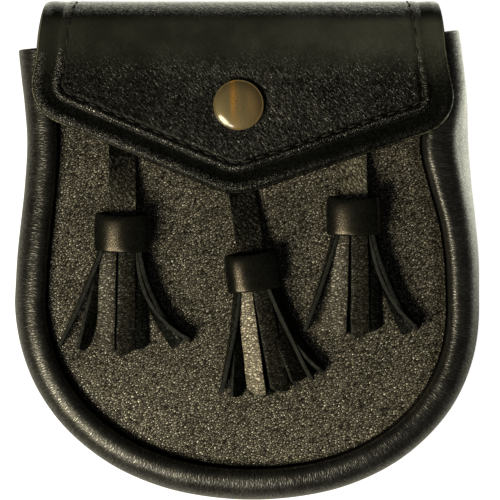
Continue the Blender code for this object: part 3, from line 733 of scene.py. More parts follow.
def rounded_corner(before, corner, after, steps):
    """Points round one corner of the flap, between its two straight runs."""
    middle = Vector((corner.across, corner.height))
    to_before = (before - middle).normalized()
    to_after = (after - middle).normalized()
    half = to_before.angle(to_after) / 2
    center = middle + (to_before + to_after).normalized() * corner.radius / math.sin(half)
    start = middle + to_before * corner.radius / math.tan(half) - center
    end = middle + to_after * corner.radius / math.tan(half) - center
    turn = start.angle_signed(end)
    points = []
    for step in range(steps + 1):
        arm = start.copy()
        arm.rotate(Matrix.Rotation(-turn * step / steps, 2))
        points.append(center + arm)
    return points


def flap_side(corner, other, top):
    """Flap edge from the middle of the tip's curve, up the slope and round the corner."""
    tip, near, far = (Vector((spot.across, spot.height)) for spot in (TIP_CORNER, corner, other))
    around_tip = rounded_corner(far, TIP_CORNER, near, 2 * TIP_STEPS)
    around_corner = rounded_corner(tip, corner, top, CORNER_STEPS)
    return around_tip[TIP_STEPS], [*around_tip[TIP_STEPS + 1:], *around_corner]


def back_place(point):
    """Place on the flat hide of a point on the back."""
    return Vector((point.x, FOLD_HEIGHT + FOLD_LENGTH + FOLD_HEIGHT - point.y))


def hide_side(side, corner, panel_side):
    name = side_name(side)
    top = Vector((getattr(FOLD_EDGES[0], name), FOLD_EDGES[0].along))
    tip, edge = flap_side(corner, LEFT_CORNER if side > 0 else RIGHT_CORNER, top)
    edge.append(top)
    for step in range(FOLD_STEPS + 1):
        along = FOLD_HEIGHT + FOLD_LENGTH * step / FOLD_STEPS
        edge.append(Vector((read_table(FOLD_EDGES, "along", name, along), along)))
    edge.extend(back_place(point) for point in reversed(panel_side))
    return tip, edge


def hide_outline():
    bottom, panel_left, panel_right = panel_chains()
    tip, left = hide_side(-1, LEFT_CORNER, panel_left)
    right = hide_side(1, RIGHT_CORNER, panel_right)[1]
    return shrink(resample([tip, *left, back_place(bottom), *reversed(right)], OUTLINE_SPACING,
                           closed=True), -HIDE_RIM)


def shrink(outline, inset):
    """Outline moved in by some distance."""
    moved = []
    for i, point in enumerate(outline):
        along = (outline[(i + 1) % len(outline)] - outline[i - 1]).normalized()
        moved.append(point + Vector((along.y, -along.x)) * inset)
    return moved


def stitch_line(outline):
    """Ends of the flap's stitches on the flat hide, from the fold round the tip and back."""
    line = shrink(outline, STITCH_INSET)
    first = next(i for i, point in enumerate(line) if point.y > CREASE_END)
    last = next(i for i in range(len(line) - 1, 0, -1) if line[i].y > CREASE_END)
    return resample([*line[last:], *line[:first]], STITCH_PITCH)


def hide_rise(point, inset, holes):
    """Low relief of the hide: its border, the stitch holes, the snap's press and small waves."""
    fade = 1 - smooth_step((point.y - CREASE_END) / CREASE_FADE)
    on_border = 1 - passage(inset, GROOVE_START)
    lost = 1 - GROOVE_KEPT + (GROOVE_KEPT - BORDER_KEPT) * on_border
    kept = 1 - passage(point.y, BORDER_FADE) * lost
    rise = read_table(CREASES, "inset", "rise", inset) * fade * kept
    if abs(inset - STITCH_INSET) < HOLE_REACH:
        nearest = min((point.xy - hole).length for hole in holes)
        rise -= HOLE_DEPTH * fade * kept * (1 - smooth_step(nearest / HOLE_REACH))
    from_snap = (point.xy - Vector((SNAP_ACROSS, SNAP_HEIGHT))).length
    rise -= SNAP_PRESS * (1 - passage(from_snap, PRESS_SPAN))
    waves = abs(uneven(point, HIDE_WAVES, HIDE_SEED))
    return rise - HIDE_UNEVEN * passage(inset, WAVES_START) * waves


def add_back_and_flap(materials):
    outline = hide_outline()
    holes = stitch_line(outline)
    bm, inset = bordered_sheet(outline, HIDE_RINGS, HIDE_RING, HIDE_CELL)
    for vert in bm.verts:
        rise = hide_rise(vert.co, vert[inset], holes)
        vert.co = hide_point(vert.co.x, vert.co.y, rise)
    piece = add_piece("hide_leather", bm, materials, ["back_and_flap"])
    add_thickness(piece, SHEET_LEATHER)


def add_stitches(material):
    """One short run of thread between each two holes of the flap's border."""
    holes = stitch_line(hide_outline())
    joined = bmesh.new()
    face = SHEET_LEATHER / 2 + STITCH_RISE
    for near, far in zip(holes, holes[1:]):
        middle = (near + far) / 2
        along = (far - near).normalized()
        across = Vector((-along.y, along.x))
        thread = bmesh.ops.create_uvsphere(joined, u_segments=STITCH_SIDES,
                                           v_segments=STITCH_RINGS, radius=1.0)
        for vert in thread["verts"]:
            run = max(-1.0, min(1.0, vert.co.x * STITCH_FLAT)) * STITCH_LENGTH / 2
            sink = STITCH_SINK * (run * 2 / STITCH_LENGTH) ** 4
            flat = middle + along * run + across * vert.co.y * STITCH_RADIUS * (1 - sink)
            rise = face - sink + vert.co.z * STITCH_RADIUS * (1 - sink)
            vert.co = hide_point(flat.x, flat.y, rise)
    add_piece("flap_stitches", joined, [material])


# ---- snap ----

def turned_piece(profile):
    """Closed turned piece from a profile that runs down its outer side."""
    bm = bmesh.new()
    verts = [bm.verts.new((spot[0], 0.0, spot[1])) for spot in profile]
    edges = [bm.edges.new(pair) for pair in zip(verts, verts[1:])]
    bmesh.ops.spin(bm, geom=[*verts, *edges], cent=(0, 0, 0), axis=(0, 0, 1),
                   angle=2 * math.pi, steps=CAP_STEPS, use_merge=True)
    bmesh.ops.remove_doubles(bm, verts=bm.verts, dist=CAP_MERGE)
    bmesh.ops.recalc_face_normals(bm, faces=bm.faces)
    return bm


def add_snap_cap(material):
    under = -SHEET_LEATHER - GAP
    bottom = under - SOCKET_PLATE
    profile = [
        *CAP_DOME,
        (BARREL_RADIUS, GAP),
        (BARREL_RADIUS, under),
        (SOCKET_RADIUS, under),
        (SOCKET_RADIUS, bottom),
        (STUD_BORE, bottom),
        (STUD_BORE, BORE_TOP),
        (0.0, BORE_TOP),
    ]
    face = FLAP_FACE - flap_dip(SNAP_ACROSS, SNAP_HEIGHT)
    bm = turned_piece(profile)
    for vert in bm.verts:
        squared = CAP_SQUARED * passage(vert.co.z, CAP_SQUARE)
        vert.co.z += vert.co.y * math.tan(snap_tilt() * (1 - squared))
    bmesh.ops.translate(bm, verts=bm.verts, vec=(SNAP_ACROSS, SNAP_HEIGHT, face))
    round_edges(bm, CAP_ROUND)
    add_piece("snap_cap_brass", bm, [material], ["snap_cap"])


# ---- tassels ----

def tassel_matrix(tassel):
    seat = panel_height(tassel.across, tassel.height)
    return (Matrix.Translation((tassel.across, tassel.height, seat))
            @ Matrix.Rotation(tassel.lean, 4, "Z"))


def panel_rise(tassel, across, along):
    """Panel face under a point of the tassel, measured from the tassel's own frame."""
    turn = Matrix.Rotation(tassel.lean, 2)
    point = turn @ Vector((across, -along)) + Vector((tassel.across, tassel.height))
    return panel_height(*point) - panel_height(tassel.across, tassel.height)


def axis_height(tassel, along):
    """Height of the collar's middle line over the tassel's frame."""
    return GAP + COLLAR_HALF_HEIGHT - math.tan(tassel.tilt) * along


def add_collar(tassel, material):
    """Oval tube with rounded rims, spun from the section of its wall."""
    mean_width = COLLAR_HALF_WIDTH - COLLAR_LEATHER / 2 - COLLAR_ROOM
    mean_height = COLLAR_HALF_HEIGHT - COLLAR_LEATHER / 2 - COLLAR_ROOM
    bm = bmesh.new()
    verts = [bm.verts.new((mean_width + spot.out, spot.along, 0.0)) for spot in COLLAR_WALL]
    edges = [bm.edges.new((verts[i - 1], verts[i])) for i in range(len(verts))]
    bmesh.ops.spin(bm, geom=[*verts, *edges], cent=(0, 0, 0), axis=(0, 1, 0),
                   angle=2 * math.pi, steps=COLLAR_STEPS, use_merge=True)
    for vert in bm.verts:
        arm = Vector((vert.co.x, vert.co.z))
        out = arm.length - mean_width
        arm.normalize()
        taper = 1 - COLLAR_TAPER * smooth_step((vert.co.y - TAPER_START) / TAPER_RUN)
        vert.co.y *= 1 - COLLAR_DIP * max(0.0, arm.y) ** 2
        vert.co.x = arm.x * (mean_width + out) * taper
        crown = COLLAR_CROWN + tassel.skew * vert.co.x if arm.y > 0 else 0.0
        vert.co.z = arm.y * (mean_height + crown + out)
    bmesh.ops.recalc_face_normals(bm, faces=bm.faces)
    add_uv(bm)
    lean_gap = COLLAR_HALF_HEIGHT * (1 / math.cos(tassel.tilt) - 1)
    seat = Matrix.Translation((0.0, 0.0, axis_height(tassel, 0.0) + lean_gap))
    bmesh.ops.transform(bm, verts=bm.verts,
                        matrix=tassel_matrix(tassel) @ seat @ Matrix.Rotation(tassel.tilt, 4, "X"))
    piece = add_leather("collar_" + tassel.name, bm, [material])
    finer = piece.modifiers.new("finer", "SUBSURF")
    finer.levels = 1
    finer.render_levels = 1


def add_strap(tassel, materials):
    rest = GAP + STRAP_LEATHER / 2
    reach = STRAP_WIDTH / 2 / (COLLAR_HALF_WIDTH - COLLAR_LEATHER)
    drop = (COLLAR_HALF_HEIGHT - COLLAR_LEATHER) * math.sqrt(1 - reach ** 2)
    mouth = axis_height(tassel, -COLLAR_LENGTH) - drop + GAP + FACET_ROOM + STRAP_LEATHER / 2
    start = -tassel.strap_length
    bare = start + tassel.covered
    matrix = tassel_matrix(tassel)

    def place(across, along, side):
        way = start + (STRAP_END - start) * along
        lift = smooth_step((way - bare) / (-COLLAR_LENGTH - bare))
        height = rest + (mouth - rest) * lift + panel_rise(tassel, 0.0, way) * (1 - lift)
        over = (across - 0.5) * STRAP_WIDTH
        turn = tassel.twist_top + (tassel.twist_low - tassel.twist_top) * lift
        twist = math.tan(math.radians(turn)) * (
            smooth_step((way - bare - TWIST_START) / TWIST_RUN)
            * smooth_step((-COLLAR_LENGTH - way) / TWIST_END))
        height += abs(twist) * STRAP_WIDTH / 2 * (1 - lift) + over * twist
        return matrix @ Vector((over, -way, height + side * STRAP_LEATHER / 2))

    bm = slab(STRAP_COLUMNS, STRAP_ROWS, STRAP_WIDTH, STRAP_END - start, place,
              tassel.tone_top, tassel.tone_low)
    round_edges(bm)
    add_leather("strap_" + tassel.name, bm, materials)


def strip_slab(tassel, strip, seed):
    """One cut strip, from the fringe's head to its free end."""
    swing = strip.tip - strip.root
    matrix = tassel_matrix(tassel)

    def place(across, along, side):
        way = STRIP_START + (strip.length - STRIP_START) * along
        reach = (across - 0.5) * 2
        way -= (TIP_ROUND * reach ** 2 + TIP_SLANT * reach * math.sin(seed)) * along ** TIP_POWER
        over = strip.root + swing * along ** strip.curl
        over += STRIP_WAVE * uneven((way, 0.0), WAVE_SIZE, seed) * along
        turn = math.radians(strip.turn_root + (strip.turn_tip - strip.turn_root) * along)
        width = STRIP_WIDTH * (1 + STRIP_SPREAD * along)
        half_height = (width * abs(math.sin(turn)) + STRIP_LEATHER * math.cos(turn)) / 2
        rest = GAP + half_height + strip.stack + panel_rise(tassel, over, way)
        root = max(axis_height(tassel, 0.0) + strip.lift, rest)
        height = root + (rest - root) * smooth_step(along / STRIP_SETTLE)
        slant = swing * strip.curl * along ** (strip.curl - 1) / (strip.length - STRIP_START)
        flat = Vector((1.0, slant, 0.0)).normalized()
        cross = flat * math.cos(turn) + Vector((0.0, 0.0, math.sin(turn)))
        face = flat * -math.sin(turn) + Vector((0.0, 0.0, math.cos(turn)))
        cup = STRIP_CUP * (CUP_MIDDLE - reach ** 2)
        middle = Vector((over, -way, height))
        return matrix @ (middle + cross * reach * width / 2
                         + face * (cup + side * STRIP_LEATHER / 2))

    bm = slab(STRIP_COLUMNS, STRIP_ROWS, STRIP_WIDTH, strip.length - STRIP_START, place,
              strip.tone)
    round_edges(bm)
    return bm


def fringe_head(tassel):
    """Oval plug of rolled leather that the strips grow from."""
    bm = bmesh.new()
    bm.verts.layers.float.new("tone")
    bmesh.ops.create_cone(bm, cap_ends=True, segments=HEAD_SIDES, radius1=1.0, radius2=1.0,
                          depth=HEAD_BOTTOM - HEAD_TOP)
    bmesh.ops.rotate(bm, verts=bm.verts, matrix=Matrix.Rotation(math.pi / 2, 3, "X"))
    bmesh.ops.scale(bm, verts=bm.verts, vec=(HEAD_HALF_WIDTH, 1.0, HEAD_HALF_HEIGHT))
    middle = (HEAD_TOP + HEAD_BOTTOM) / 2
    for vert in bm.verts:
        vert.co.y -= middle
        vert.co.z += axis_height(tassel, -vert.co.y)
    add_uv(bm)
    for face in bm.faces:
        face.material_index = 1
    bmesh.ops.transform(bm, verts=bm.verts, matrix=tassel_matrix(tassel))
    round_edges(bm)
    return bm


def join(bms):
    """One mesh of several, which are freed."""
    joined = bmesh.new()
    for bm in bms:
        mesh = new_mesh("part", bm)
        joined.from_mesh(mesh)
        bpy.data.meshes.remove(mesh)
    return joined


def add_fringe(tassel, materials):
    strips = [strip_slab(tassel, strip, number * STRIP_SEED + tassel.across)
              for number, strip in enumerate(STRIPS[tassel.name])]
    add_leather("fringe_" + tassel.name, join([fringe_head(tassel), *strips]), materials)


# ---- belt loops ----

def add_belt_loop(side, across, materials):
    bridge = LOOP_OUTER + LOOP_LEATHER / 2
    foot = BACK_FACE - GAP - LOOP_LEATHER / 2
    reach = LOOP_BRIDGE / 2
    half = reach + LOOP_RISE + LOOP_FOOT

    def place(over, along, face):
        way = (along - 0.5) * 2 * half
        climb = smooth_step((reach + LOOP_RISE - abs(way)) / LOOP_RISE)
        height = foot + (bridge - foot) * climb - face * LOOP_LEATHER / 2
        return across + (0.5 - over) * LOOP_WIDTH, LOOP_HEIGHT + way, height

    bm = slab(LOOP_COLUMNS, LOOP_ROWS, LOOP_WIDTH, 2 * half, place)
    round_edges(bm)
    add_leather("belt_loop_" + side, bm, materials)


# ---- node helpers ----

def link(tree, value, socket):
    if isinstance(value, bpy.types.NodeSocket):
        tree.links.new(value, socket)
    else:
        socket.default_value = value


def set_sockets(tree, sockets, values):
    """Values or links of some sockets, by name or number."""
    for name, value in dict(values).items():
        link(tree, value, sockets[name])


def add_node(tree, kind, values=(), **settings):
    """Node with its settings and the values or links of its inputs."""
    node = tree.nodes.new("ShaderNode" + kind)
    for name, value in settings.items():
        setattr(node, name, value)
    set_sockets(tree, node.inputs, values)
    return node


def math_node(tree, operation, *values):
    return add_node(tree, "Math", enumerate(values), operation=operation).outputs[0]


def product(tree, first, *others):
    """Product of values, taken one after the other."""
    for other in others:
        first = math_node(tree, "MULTIPLY", first, other)
    return first


def vector_node(tree, operation, first, second):
    """Vector sum, product or scaling of two values."""
    slot = 3 if operation == "SCALE" else 1
    return add_node(tree, "VectorMath", {0: first, slot: second}, operation=operation).outputs[0]


def ramp(tree, value, low, high, to_low=0.0, to_high=1.0):
    """Value carried smoothly from one range to another and held at its ends."""
    names = ("Value", "From Min", "From Max", "To Min", "To Max")
    return add_node(tree, "MapRange", zip(names, (value, low, high, to_low, to_high)),
                    interpolation_type="SMOOTHSTEP").outputs["Result"]


def mix_values(tree, share, first, second):
    return add_node(tree, "Mix", {"Factor": share, "A": first, "B": second}).outputs["Result"]


def mix_colors(tree, share, first, second, blend="MIX"):
    return add_node(tree, "Mix", {0: share, 6: first, 7: second}, data_type="RGBA",
                    blend_type=blend).outputs[2]


def noise_node(tree, vector, scale, detail=2.0, roughness=0.5, output="Fac"):
    return add_node(tree, "TexNoise", {"Vector": vector, "Scale": scale, "Detail": detail,
                                       "Roughness": roughness}).outputs[output]


def object_place(tree):
    return add_node(tree, "TexCoord").outputs["Object"]


def flat_place(tree):
    """Place on the leather when it still lay flat."""
    return add_node(tree, "UVMap", uv_map="flat").outputs["UV"]


def axes(tree, vector):
    return add_node(tree, "SeparateXYZ", {"Vector": vector}).outputs


def attribute(tree, name):
    return add_node(tree, "Attribute", attribute_name=name).outputs["Fac"]


def relief(tree, height, distance=MM):
    return add_node(tree, "Bump", {"Height": height, "Distance": distance}).outputs[0]


def metres(lengths):
    return [length * MM for length in lengths]


def rgba(color):
    return (*color, 1.0)


def new_group(name, inputs, outputs):
    """Empty shader group with named sockets, and its two ends."""
    group = bpy.data.node_groups.new(name, "ShaderNodeTree")
    for socket, kind, default in inputs:
        made = group.interface.new_socket(socket, in_out="INPUT", socket_type="NodeSocket" + kind)
        if default is not None:
            made.default_value = default
    for socket, kind in outputs:
        group.interface.new_socket(socket, in_out="OUTPUT", socket_type="NodeSocket" + kind)
    start = group.nodes.new("NodeGroupInput")
    end = group.nodes.new("NodeGroupOutput")
    return group, start.outputs, end.inputs


def place_group(tree, group, values):
    return add_node(tree, "Group", values, node_tree=group).outputs


# ---- shared effects ----

# Detail and roughness of three noises.
COARSE = (2.0, 0.6)
CLOUDY = (3.0, 0.6)
FIBROUS = (4.0, 0.7)

# Grain, in cells: the drift of the cells and the scale of its noise, the slope of a pebble from
# its edge, the shares of creases and pebbles in the height, the least height of a pebble and its
# spread, and the scale of the fine grain.
DRIFT = 3.0
DRIFT_SCALE = 0.8
PEBBLE_SLOPE = (0.85, 0.1)
CREASE_SHARE = 0.6
PEBBLE_SHARE = 0.4
LEAST_PEBBLE = 0.65
PEBBLE_SPREAD = 0.7
FINE_SCALE = 2.6

# Dye: the noise of its patches and the shade they give, and how dull patches and creases are.
PATCH_SHADE = (0.25, 0.75, 0.8, 1.2)
PATCH_ROUGH = (0.2, 0.8, -0.04, 0.04)
CREASE_ROUGH = 0.1

# Nap: the scale of its tufts against its fibres, how light all of it is, and the span of the
# noise from its own colour to that of the tufts.
TUFT_SCALE = 0.22
TUFT_LEVEL = 0.5
TUFTS = (0.3, 0.65)


def grain_group():
    """Leather grain: cells with creases between them, which may be drawn out along one way."""
    tree, start, end = new_group("leather_grain", (
        ("Vector", "Vector", None), ("Cell", "Float", 0.001), ("Turn", "Vector", (0, 0, 0)),
        ("Stretch", "Vector", (1, 1, 1)), ("Wander", "Float", 0.35), ("Fine", "Float", 0.2),
        ("Crease", "Float", 0.28),
    ), (("Height", "Float"), ("Cells", "Float"), ("Tone", "Float")))
    turned = add_node(tree, "Mapping", {"Vector": start["Vector"], "Rotation": start["Turn"]})
    per_cell = math_node(tree, "DIVIDE", 1.0, start["Cell"])
    scaled = vector_node(tree, "SCALE", turned.outputs[0], per_cell)
    drawn = vector_node(tree, "MULTIPLY", scaled, start["Stretch"])
    drift = noise_node(tree, drawn, DRIFT_SCALE, 1.0, output="Color")
    centred = vector_node(tree, "SUBTRACT", drift, (0.5, 0.5, 0.5))
    shift = vector_node(tree, "SCALE", centred, product(tree, start["Wander"], DRIFT))
    cells = {"Vector": vector_node(tree, "ADD", drawn, shift), "Scale": 1.0}
    creases = add_node(tree, "TexVoronoi", cells, feature="DISTANCE_TO_EDGE").outputs
    pebbles = add_node(tree, "TexVoronoi", cells).outputs
    crease = ramp(tree, creases["Distance"], 0.0, start["Crease"])
    pebble = ramp(tree, pebbles["Distance"], *PEBBLE_SLOPE)
    tone = add_node(tree, "SeparateColor", {"Color": pebbles["Color"]}).outputs["Red"]
    full = math_node(tree, "MULTIPLY_ADD", crease, CREASE_SHARE,
                     product(tree, pebble, PEBBLE_SHARE))
    body = product(tree, full, math_node(tree, "MULTIPLY_ADD", tone, PEBBLE_SPREAD, LEAST_PEBBLE))
    fine = noise_node(tree, scaled, FINE_SCALE, *COARSE)
    rough = product(tree, math_node(tree, "SUBTRACT", fine, 0.5), start["Fine"])
    set_sockets(tree, end, {"Height": math_node(tree, "ADD", body, rough), "Cells": crease,
                            "Tone": tone})
    return tree


def dye_group():
    """Dyed leather: each pebble has its own tone; painted shade darkens and dulls its creases."""
    tree, start, end = new_group("dyed_leather", (
        ("Vector", "Vector", None), ("Dye", "Color", None), ("Cells", "Float", 1.0),
        ("Tone", "Float", 0.5), ("Vary", "Float", 0.3), ("Deep", "Float", 0.45),
        ("Patch", "Float", 0.012), ("Shine", "Float", 0.5), ("Rough", "Float", 0.45),
    ), (("Color", "Color"), ("Roughness", "Float"), ("Specular", "Float")))
    per_patch = math_node(tree, "DIVIDE", 1.0, start["Patch"])
    scaled = vector_node(tree, "SCALE", start["Vector"], per_patch)
    patches = noise_node(tree, scaled, 1.0, *CLOUDY)
    shade = ramp(tree, patches, *PATCH_SHADE)
    spread = math_node(tree, "MULTIPLY_ADD", math_node(tree, "SUBTRACT", start["Tone"], 0.5),
                       product(tree, start["Vary"], 2.0), 1.0)
    # Painted shade: creases get darker dye and less shine.
    light = product(tree, shade, spread, mix_values(tree, start["Cells"], start["Deep"], 1.0))
    in_crease = product(tree, math_node(tree, "SUBTRACT", 1.0, start["Cells"]), CREASE_ROUGH)
    rub = ramp(tree, patches, *PATCH_ROUGH)
    rough = math_node(tree, "ADD", math_node(tree, "ADD", start["Rough"], in_crease), rub)
    set_sockets(tree, end, {"Color": mix_colors(tree, 1.0, start["Dye"], light, "MULTIPLY"),
                            "Roughness": rough, "Specular": product(tree, light, start["Shine"])})
    return tree


def nap_group():
    """Nap of a cut edge or a flesh side: short fibres and lighter tufts."""
    tree, start, end = new_group("suede_nap", (
        ("Vector", "Vector", None), ("Fibre", "Float", 0.0006), ("Color", "Color", None),
        ("Tuft", "Color", None),
    ), (("Color", "Color"), ("Height", "Float")))
    per_fibre = math_node(tree, "DIVIDE", 1.0, start["Fibre"])
    scaled = vector_node(tree, "SCALE", start["Vector"], per_fibre)
    fibres = noise_node(tree, scaled, 1.0, *FIBROUS)
    tufts = math_node(tree, "ADD", noise_node(tree, scaled, TUFT_SCALE, *COARSE), TUFT_LEVEL)
    light = ramp(tree, product(tree, fibres, tufts), *TUFTS)
    set_sockets(tree, end, {"Color": mix_colors(tree, light, start["Color"], start["Tuft"]),
                            "Height": fibres})
    return tree


# ---- materials ----

# One leather: its dye, how much its pebbles vary, how light painted shade leaves its creases, its
# shine and roughness, and the cell, depth, stretch and turn of its grain, how far that wanders,
# how strong the fine grain over it is, and how wide its creases are.
Leather = namedtuple("Leather",
                     "dye vary deep shine rough cell depth stretch turn wander fine crease")
LEATHERS = {name: Leather(*look) for name, look in {
    # The panel's black leather has a far paler dye, which paints in the sheen of its grain.
    "panel": ((0.134, 0.124, 0.099), 0.4, 0.04, 0.9, 0.27, 0.86, 0.16, (0.74, 1.12, 1), -28,
              0.24, 0.3, 0.34),
    "gusset": ((0.007, 0.0068, 0.0058), 0.2, 0.4, 0.8, 0.33, 0.85, 0.055, (0.4, 1.1, 1), 0,
               0.3, 0.2, 0.28),
    "hide": ((0.0085, 0.0092, 0.0075), 0.5, 0.15, 0.78, 0.22, 1.1, 0.068, (1, 0.3, 1), -42,
             0.2, 0.2, 0.37),
    "border": ((0.005, 0.0055, 0.0046), 0.55, 0.2, 0.5, 0.22, 0.6, 0.15, (1, 1, 1), 0,
               0.25, 0.2, 0.28),
    "strap": ((0.008, 0.0085, 0.007), 0.35, 0.1, 0.6, 0.32, 0.85, 0.12, (1, 0.45, 1), 36,
              0.5, 0.3, 0.3),
    "strip": ((0.0055, 0.0068, 0.006), 0.35, 0.15, 0.6, 0.32, 1.15, 0.13, (0.8, 1.2, 1), 0,
              0.5, 0.3, 0.33),
    "collar": ((0.005, 0.0055, 0.0047), 0.1, 0.4, 0.27, 0.19, 0.8, 0.008, (1, 1, 1), 0,
               0.3, 0.3, 0.28),
    "loop": ((0.010, 0.010, 0.009), 0.2, 0.4, 0.5, 0.45, 0.9, 0.10, (1, 1, 1), 0,
             0.35, 0.3, 0.28),
}.items()}

# Painted light: dye of the grain where the painted tone of the piece is 1, at its palest.
PALE = {"strap": (0.18, 0.168, 0.132), "strip": (0.31, 0.275, 0.215)}
DULL_SHINE = 0.2                # of the same leathers where the tone is 0, in painted shade
FULL_SHINE = 0.3                # the tone from which they have all their shine

# Panel's painted light and shade: dye and shine lighter low down, darker above, most at the left.
PAINTED_LIGHT_HEIGHT = (-80.0, -5.0)
PAINTED_LIGHT = (1.2, 0.92)
PAINTED_LIGHT_ACROSS = (-80.0, -45.0)
PAINTED_LIGHT_LEFT = 0.88

ROLL_ACROSS = (-70.0, 60.0)     # painted sheen: the gusset is shinier on the right
ROLL_SHINE = (0.9, 1.3)

COLLAR_TINT = (1.0, 0.88, 0.74)     # of its gloss

# Where the grain of the flap's border comes and goes, in from the cut edge.
EDGE_CREST = (0.6, 1.1)
CREST_END = (2.6, 4.4)
CREST_ACROSS = (-15.0, 20.0)    # its crest is smooth on the right, and painted shade dulls it there
CREST_SHINE = (1.1, 0.65)
CREST_LINE = (1.5, 3.4)         # the shine is strongest along the crest, in from the cut edge,
RIDGE_LINE = (6.8, 7.8)         # and on the ridge beside the groove
LINE_SHINE = (1.3, 0.5)
CREST_KEPT = 0.2
VALLEY_GRAIN = 0.06
RIDGE_START = (7.4, 8.4)
FIELD_START = (9.9, 11.5)
FIELD_PEBBLES = 0.065           # height of the pebbles between the field's drawn creases
GROOVE_SLOPE = (11.0, 13.4)     # the field is dull where it comes up out of the groove
GROOVE_SHINE = 0.3
# The cut edge's black rim, then a pale line of painted reflection along the grain side's edge.
RIM_DYE = (0.0, 0.0, 0.0)
RIM_END = (0.1, 0.25)           # from the black rim to the pale line
PAINTED_EDGE_GLEAM_END = (0.4, 0.6)           # and from that line to the dyed grain
PAINTED_EDGE_GLEAM = (0.11, 0.108, 0.082)
PAINTED_EDGE_GLEAM_LOW = (0.022, 0.022, 0.018)    # its dye on the slopes, and where it pales along the hide
PAINTED_EDGE_GLEAM_SPAN = (38.0, 48.0)

# Towards its fold the hide is stretched smooth, and painted sheen pales its dye, most on the
# right.
STRETCHED = (56.0, 88.0)        # places along the hide
FOLD_GRAIN = (84.0, 92.0)       # where the grain shows again
STRETCHED_GRAIN = 0.12
STRETCHED_SHINE = 0.45
PAINTED_SHEEN_DYE = (0.045, 0.049, 0.0415)
PAINTED_SHEEN_ACROSS = (-20.0, 75.0)
PAINTED_SHEEN_LEFT = 0.3
FIELD_ACROSS = (-75.0, 5.0)
FIELD_SHINE = (0.6, 1.2)        # painted shade and sheen: share of the field's shine, left and right
FOLD_SHINE = 1.6                # and over the fold

# Suede and thread: the darkest and the palest dye, the relief and the finish.
FLESH_DYES = ((0.018, 0.017, 0.014), (0.06, 0.056, 0.046))
EDGE_DYES = ((0.003, 0.0035, 0.0035), (0.018, 0.0198, 0.0190))
SUEDE_RELIEF = 0.12
SUEDE_FINISH = {"Roughness": 0.85, "Specular IOR Level": 0.15}
THREAD_DYES = ((0.003, 0.003, 0.0025), (0.014, 0.013, 0.011))
THREAD_STRANDS = 2500.0         # strands in a metre
THREAD_RELIEF = 0.1
THREAD_FINISH = {"Roughness": 0.6, "Specular IOR Level": 0.25}

# Cap: brown and browner clouds, fine dark specks, and a warm upright band of painted reflection.
BRASS_TONES = ((0.155, 0.124, 0.067), (0.215, 0.152, 0.070))
BRASS_CLOUDS = 210.0            # clouds in a metre, drawn out upwards
CLOUD_STRETCH = (1.0, 0.22, 1.0)
WARM_CLOUDS = (0.38, 0.66)
BRASS_SPECKS = 1500.0
DARK_SPECKS = (0.55, 0.75)
SPECK_TONE = (0.12, 0.09, 0.045)
SPECK_RELIEF = 0.01
PAINTED_REFLECTION_TONE = (0.36, 0.195, 0.05)
PAINTED_REFLECTION_ACROSS = -3.8            # left of the cap's middle
PAINTED_REFLECTION_HALF = 2.0
PAINTED_REFLECTION_WAVE = 3.0
PAINTED_REFLECTION_FADE = (47.0, 58.0)      # it is strongest near the top
CLOUD_ROUGH = (0.3, 0.7, 0.7, 0.76)
SPECK_ROUGH = (0.5, 0.8, 0.0, 0.1)
BRASS_FINISH = {"Metallic": 1.0, "Coat Weight": 1.0, "Coat Roughness": 0.15}


def new_material(name):
    material = bpy.data.materials.new(name)
    material.use_nodes = True
    tree = material.node_tree
    return material, tree, tree.nodes["Principled BSDF"]


def place_grain(tree, look, groups):
    """Grain of one leather, which follows the flat place of the hide."""
    return place_group(tree, groups["grain"], {
        "Vector": flat_place(tree), "Cell": look.cell * MM,
        "Turn": (0, 0, math.radians(look.turn)), "Stretch": look.stretch,
        "Wander": look.wander, "Fine": look.fine, "Crease": look.crease})


def finish_leather(tree, shader, groups, grain, finish):
    """Dye, gloss and relief of a grained leather. The grain's height is in millimetres."""
    surface = place_group(tree, groups["dye"], {
        "Vector": object_place(tree), "Cells": grain["Cells"], "Tone": grain["Tone"], **finish})
    set_sockets(tree, shader.inputs, {
        "Base Color": surface["Color"], "Roughness": surface["Roughness"],
        "Specular IOR Level": surface["Specular"], "Normal": relief(tree, grain["Height"])})


def painted_light_share(tree):
    """Painted light and shade of the panel's dye and shine at each place."""
    place = axes(tree, flat_place(tree))
    heights = metres(PAINTED_LIGHT_HEIGHT)
    low = ramp(tree, place["Y"], *heights, *PAINTED_LIGHT)
    left = ramp(tree, place["X"], *metres(PAINTED_LIGHT_ACROSS), PAINTED_LIGHT_LEFT, 1.0)
    high = ramp(tree, place["Y"], *heights)
    return product(tree, low, math_node(
        tree, "MAXIMUM", left, math_node(tree, "SUBTRACT", 1.0, high)))


def leather_material(name, groups):
    look = LEATHERS[name]
    material, tree, shader = new_material(name + "_leather")
    grain = place_grain(tree, look, groups)
    dye = rgba(look.dye)
    shine = look.shine
    # Straps and strips: painted light and shade from their "tone" layer, in dye and shine.
    if name in PALE:
        tone = attribute(tree, "tone")
        dye = mix_colors(tree, tone, dye, rgba(PALE[name]))
        shine = ramp(tree, tone, 0.0, FULL_SHINE, DULL_SHINE, look.shine)
    elif name == "panel":
        # Painted light and shade over the panel's dye and shine.
        painted_light = painted_light_share(tree)
        dye = mix_colors(tree, 1.0, dye, painted_light, "MULTIPLY")
        shine = product(tree, shine, painted_light)
    elif name == "gusset":
        # Painted sheen: the gusset's shine rises towards its right.
        shine = ramp(tree, axes(tree, object_place(tree))["X"], *metres(ROLL_ACROSS),
                     *(share * look.shine for share in ROLL_SHINE))
    elif name == "collar":
        shader.inputs["Specular Tint"].default_value = rgba(COLLAR_TINT)
    finish_leather(
        tree, shader, groups,
        {"Height": product(tree, grain["Height"], look.depth), "Cells": grain["Cells"],
         "Tone": grain["Tone"]},
        {"Dye": dye, "Vary": look.vary, "Deep": look.deep, "Shine": shine, "Rough": look.rough})
    return material


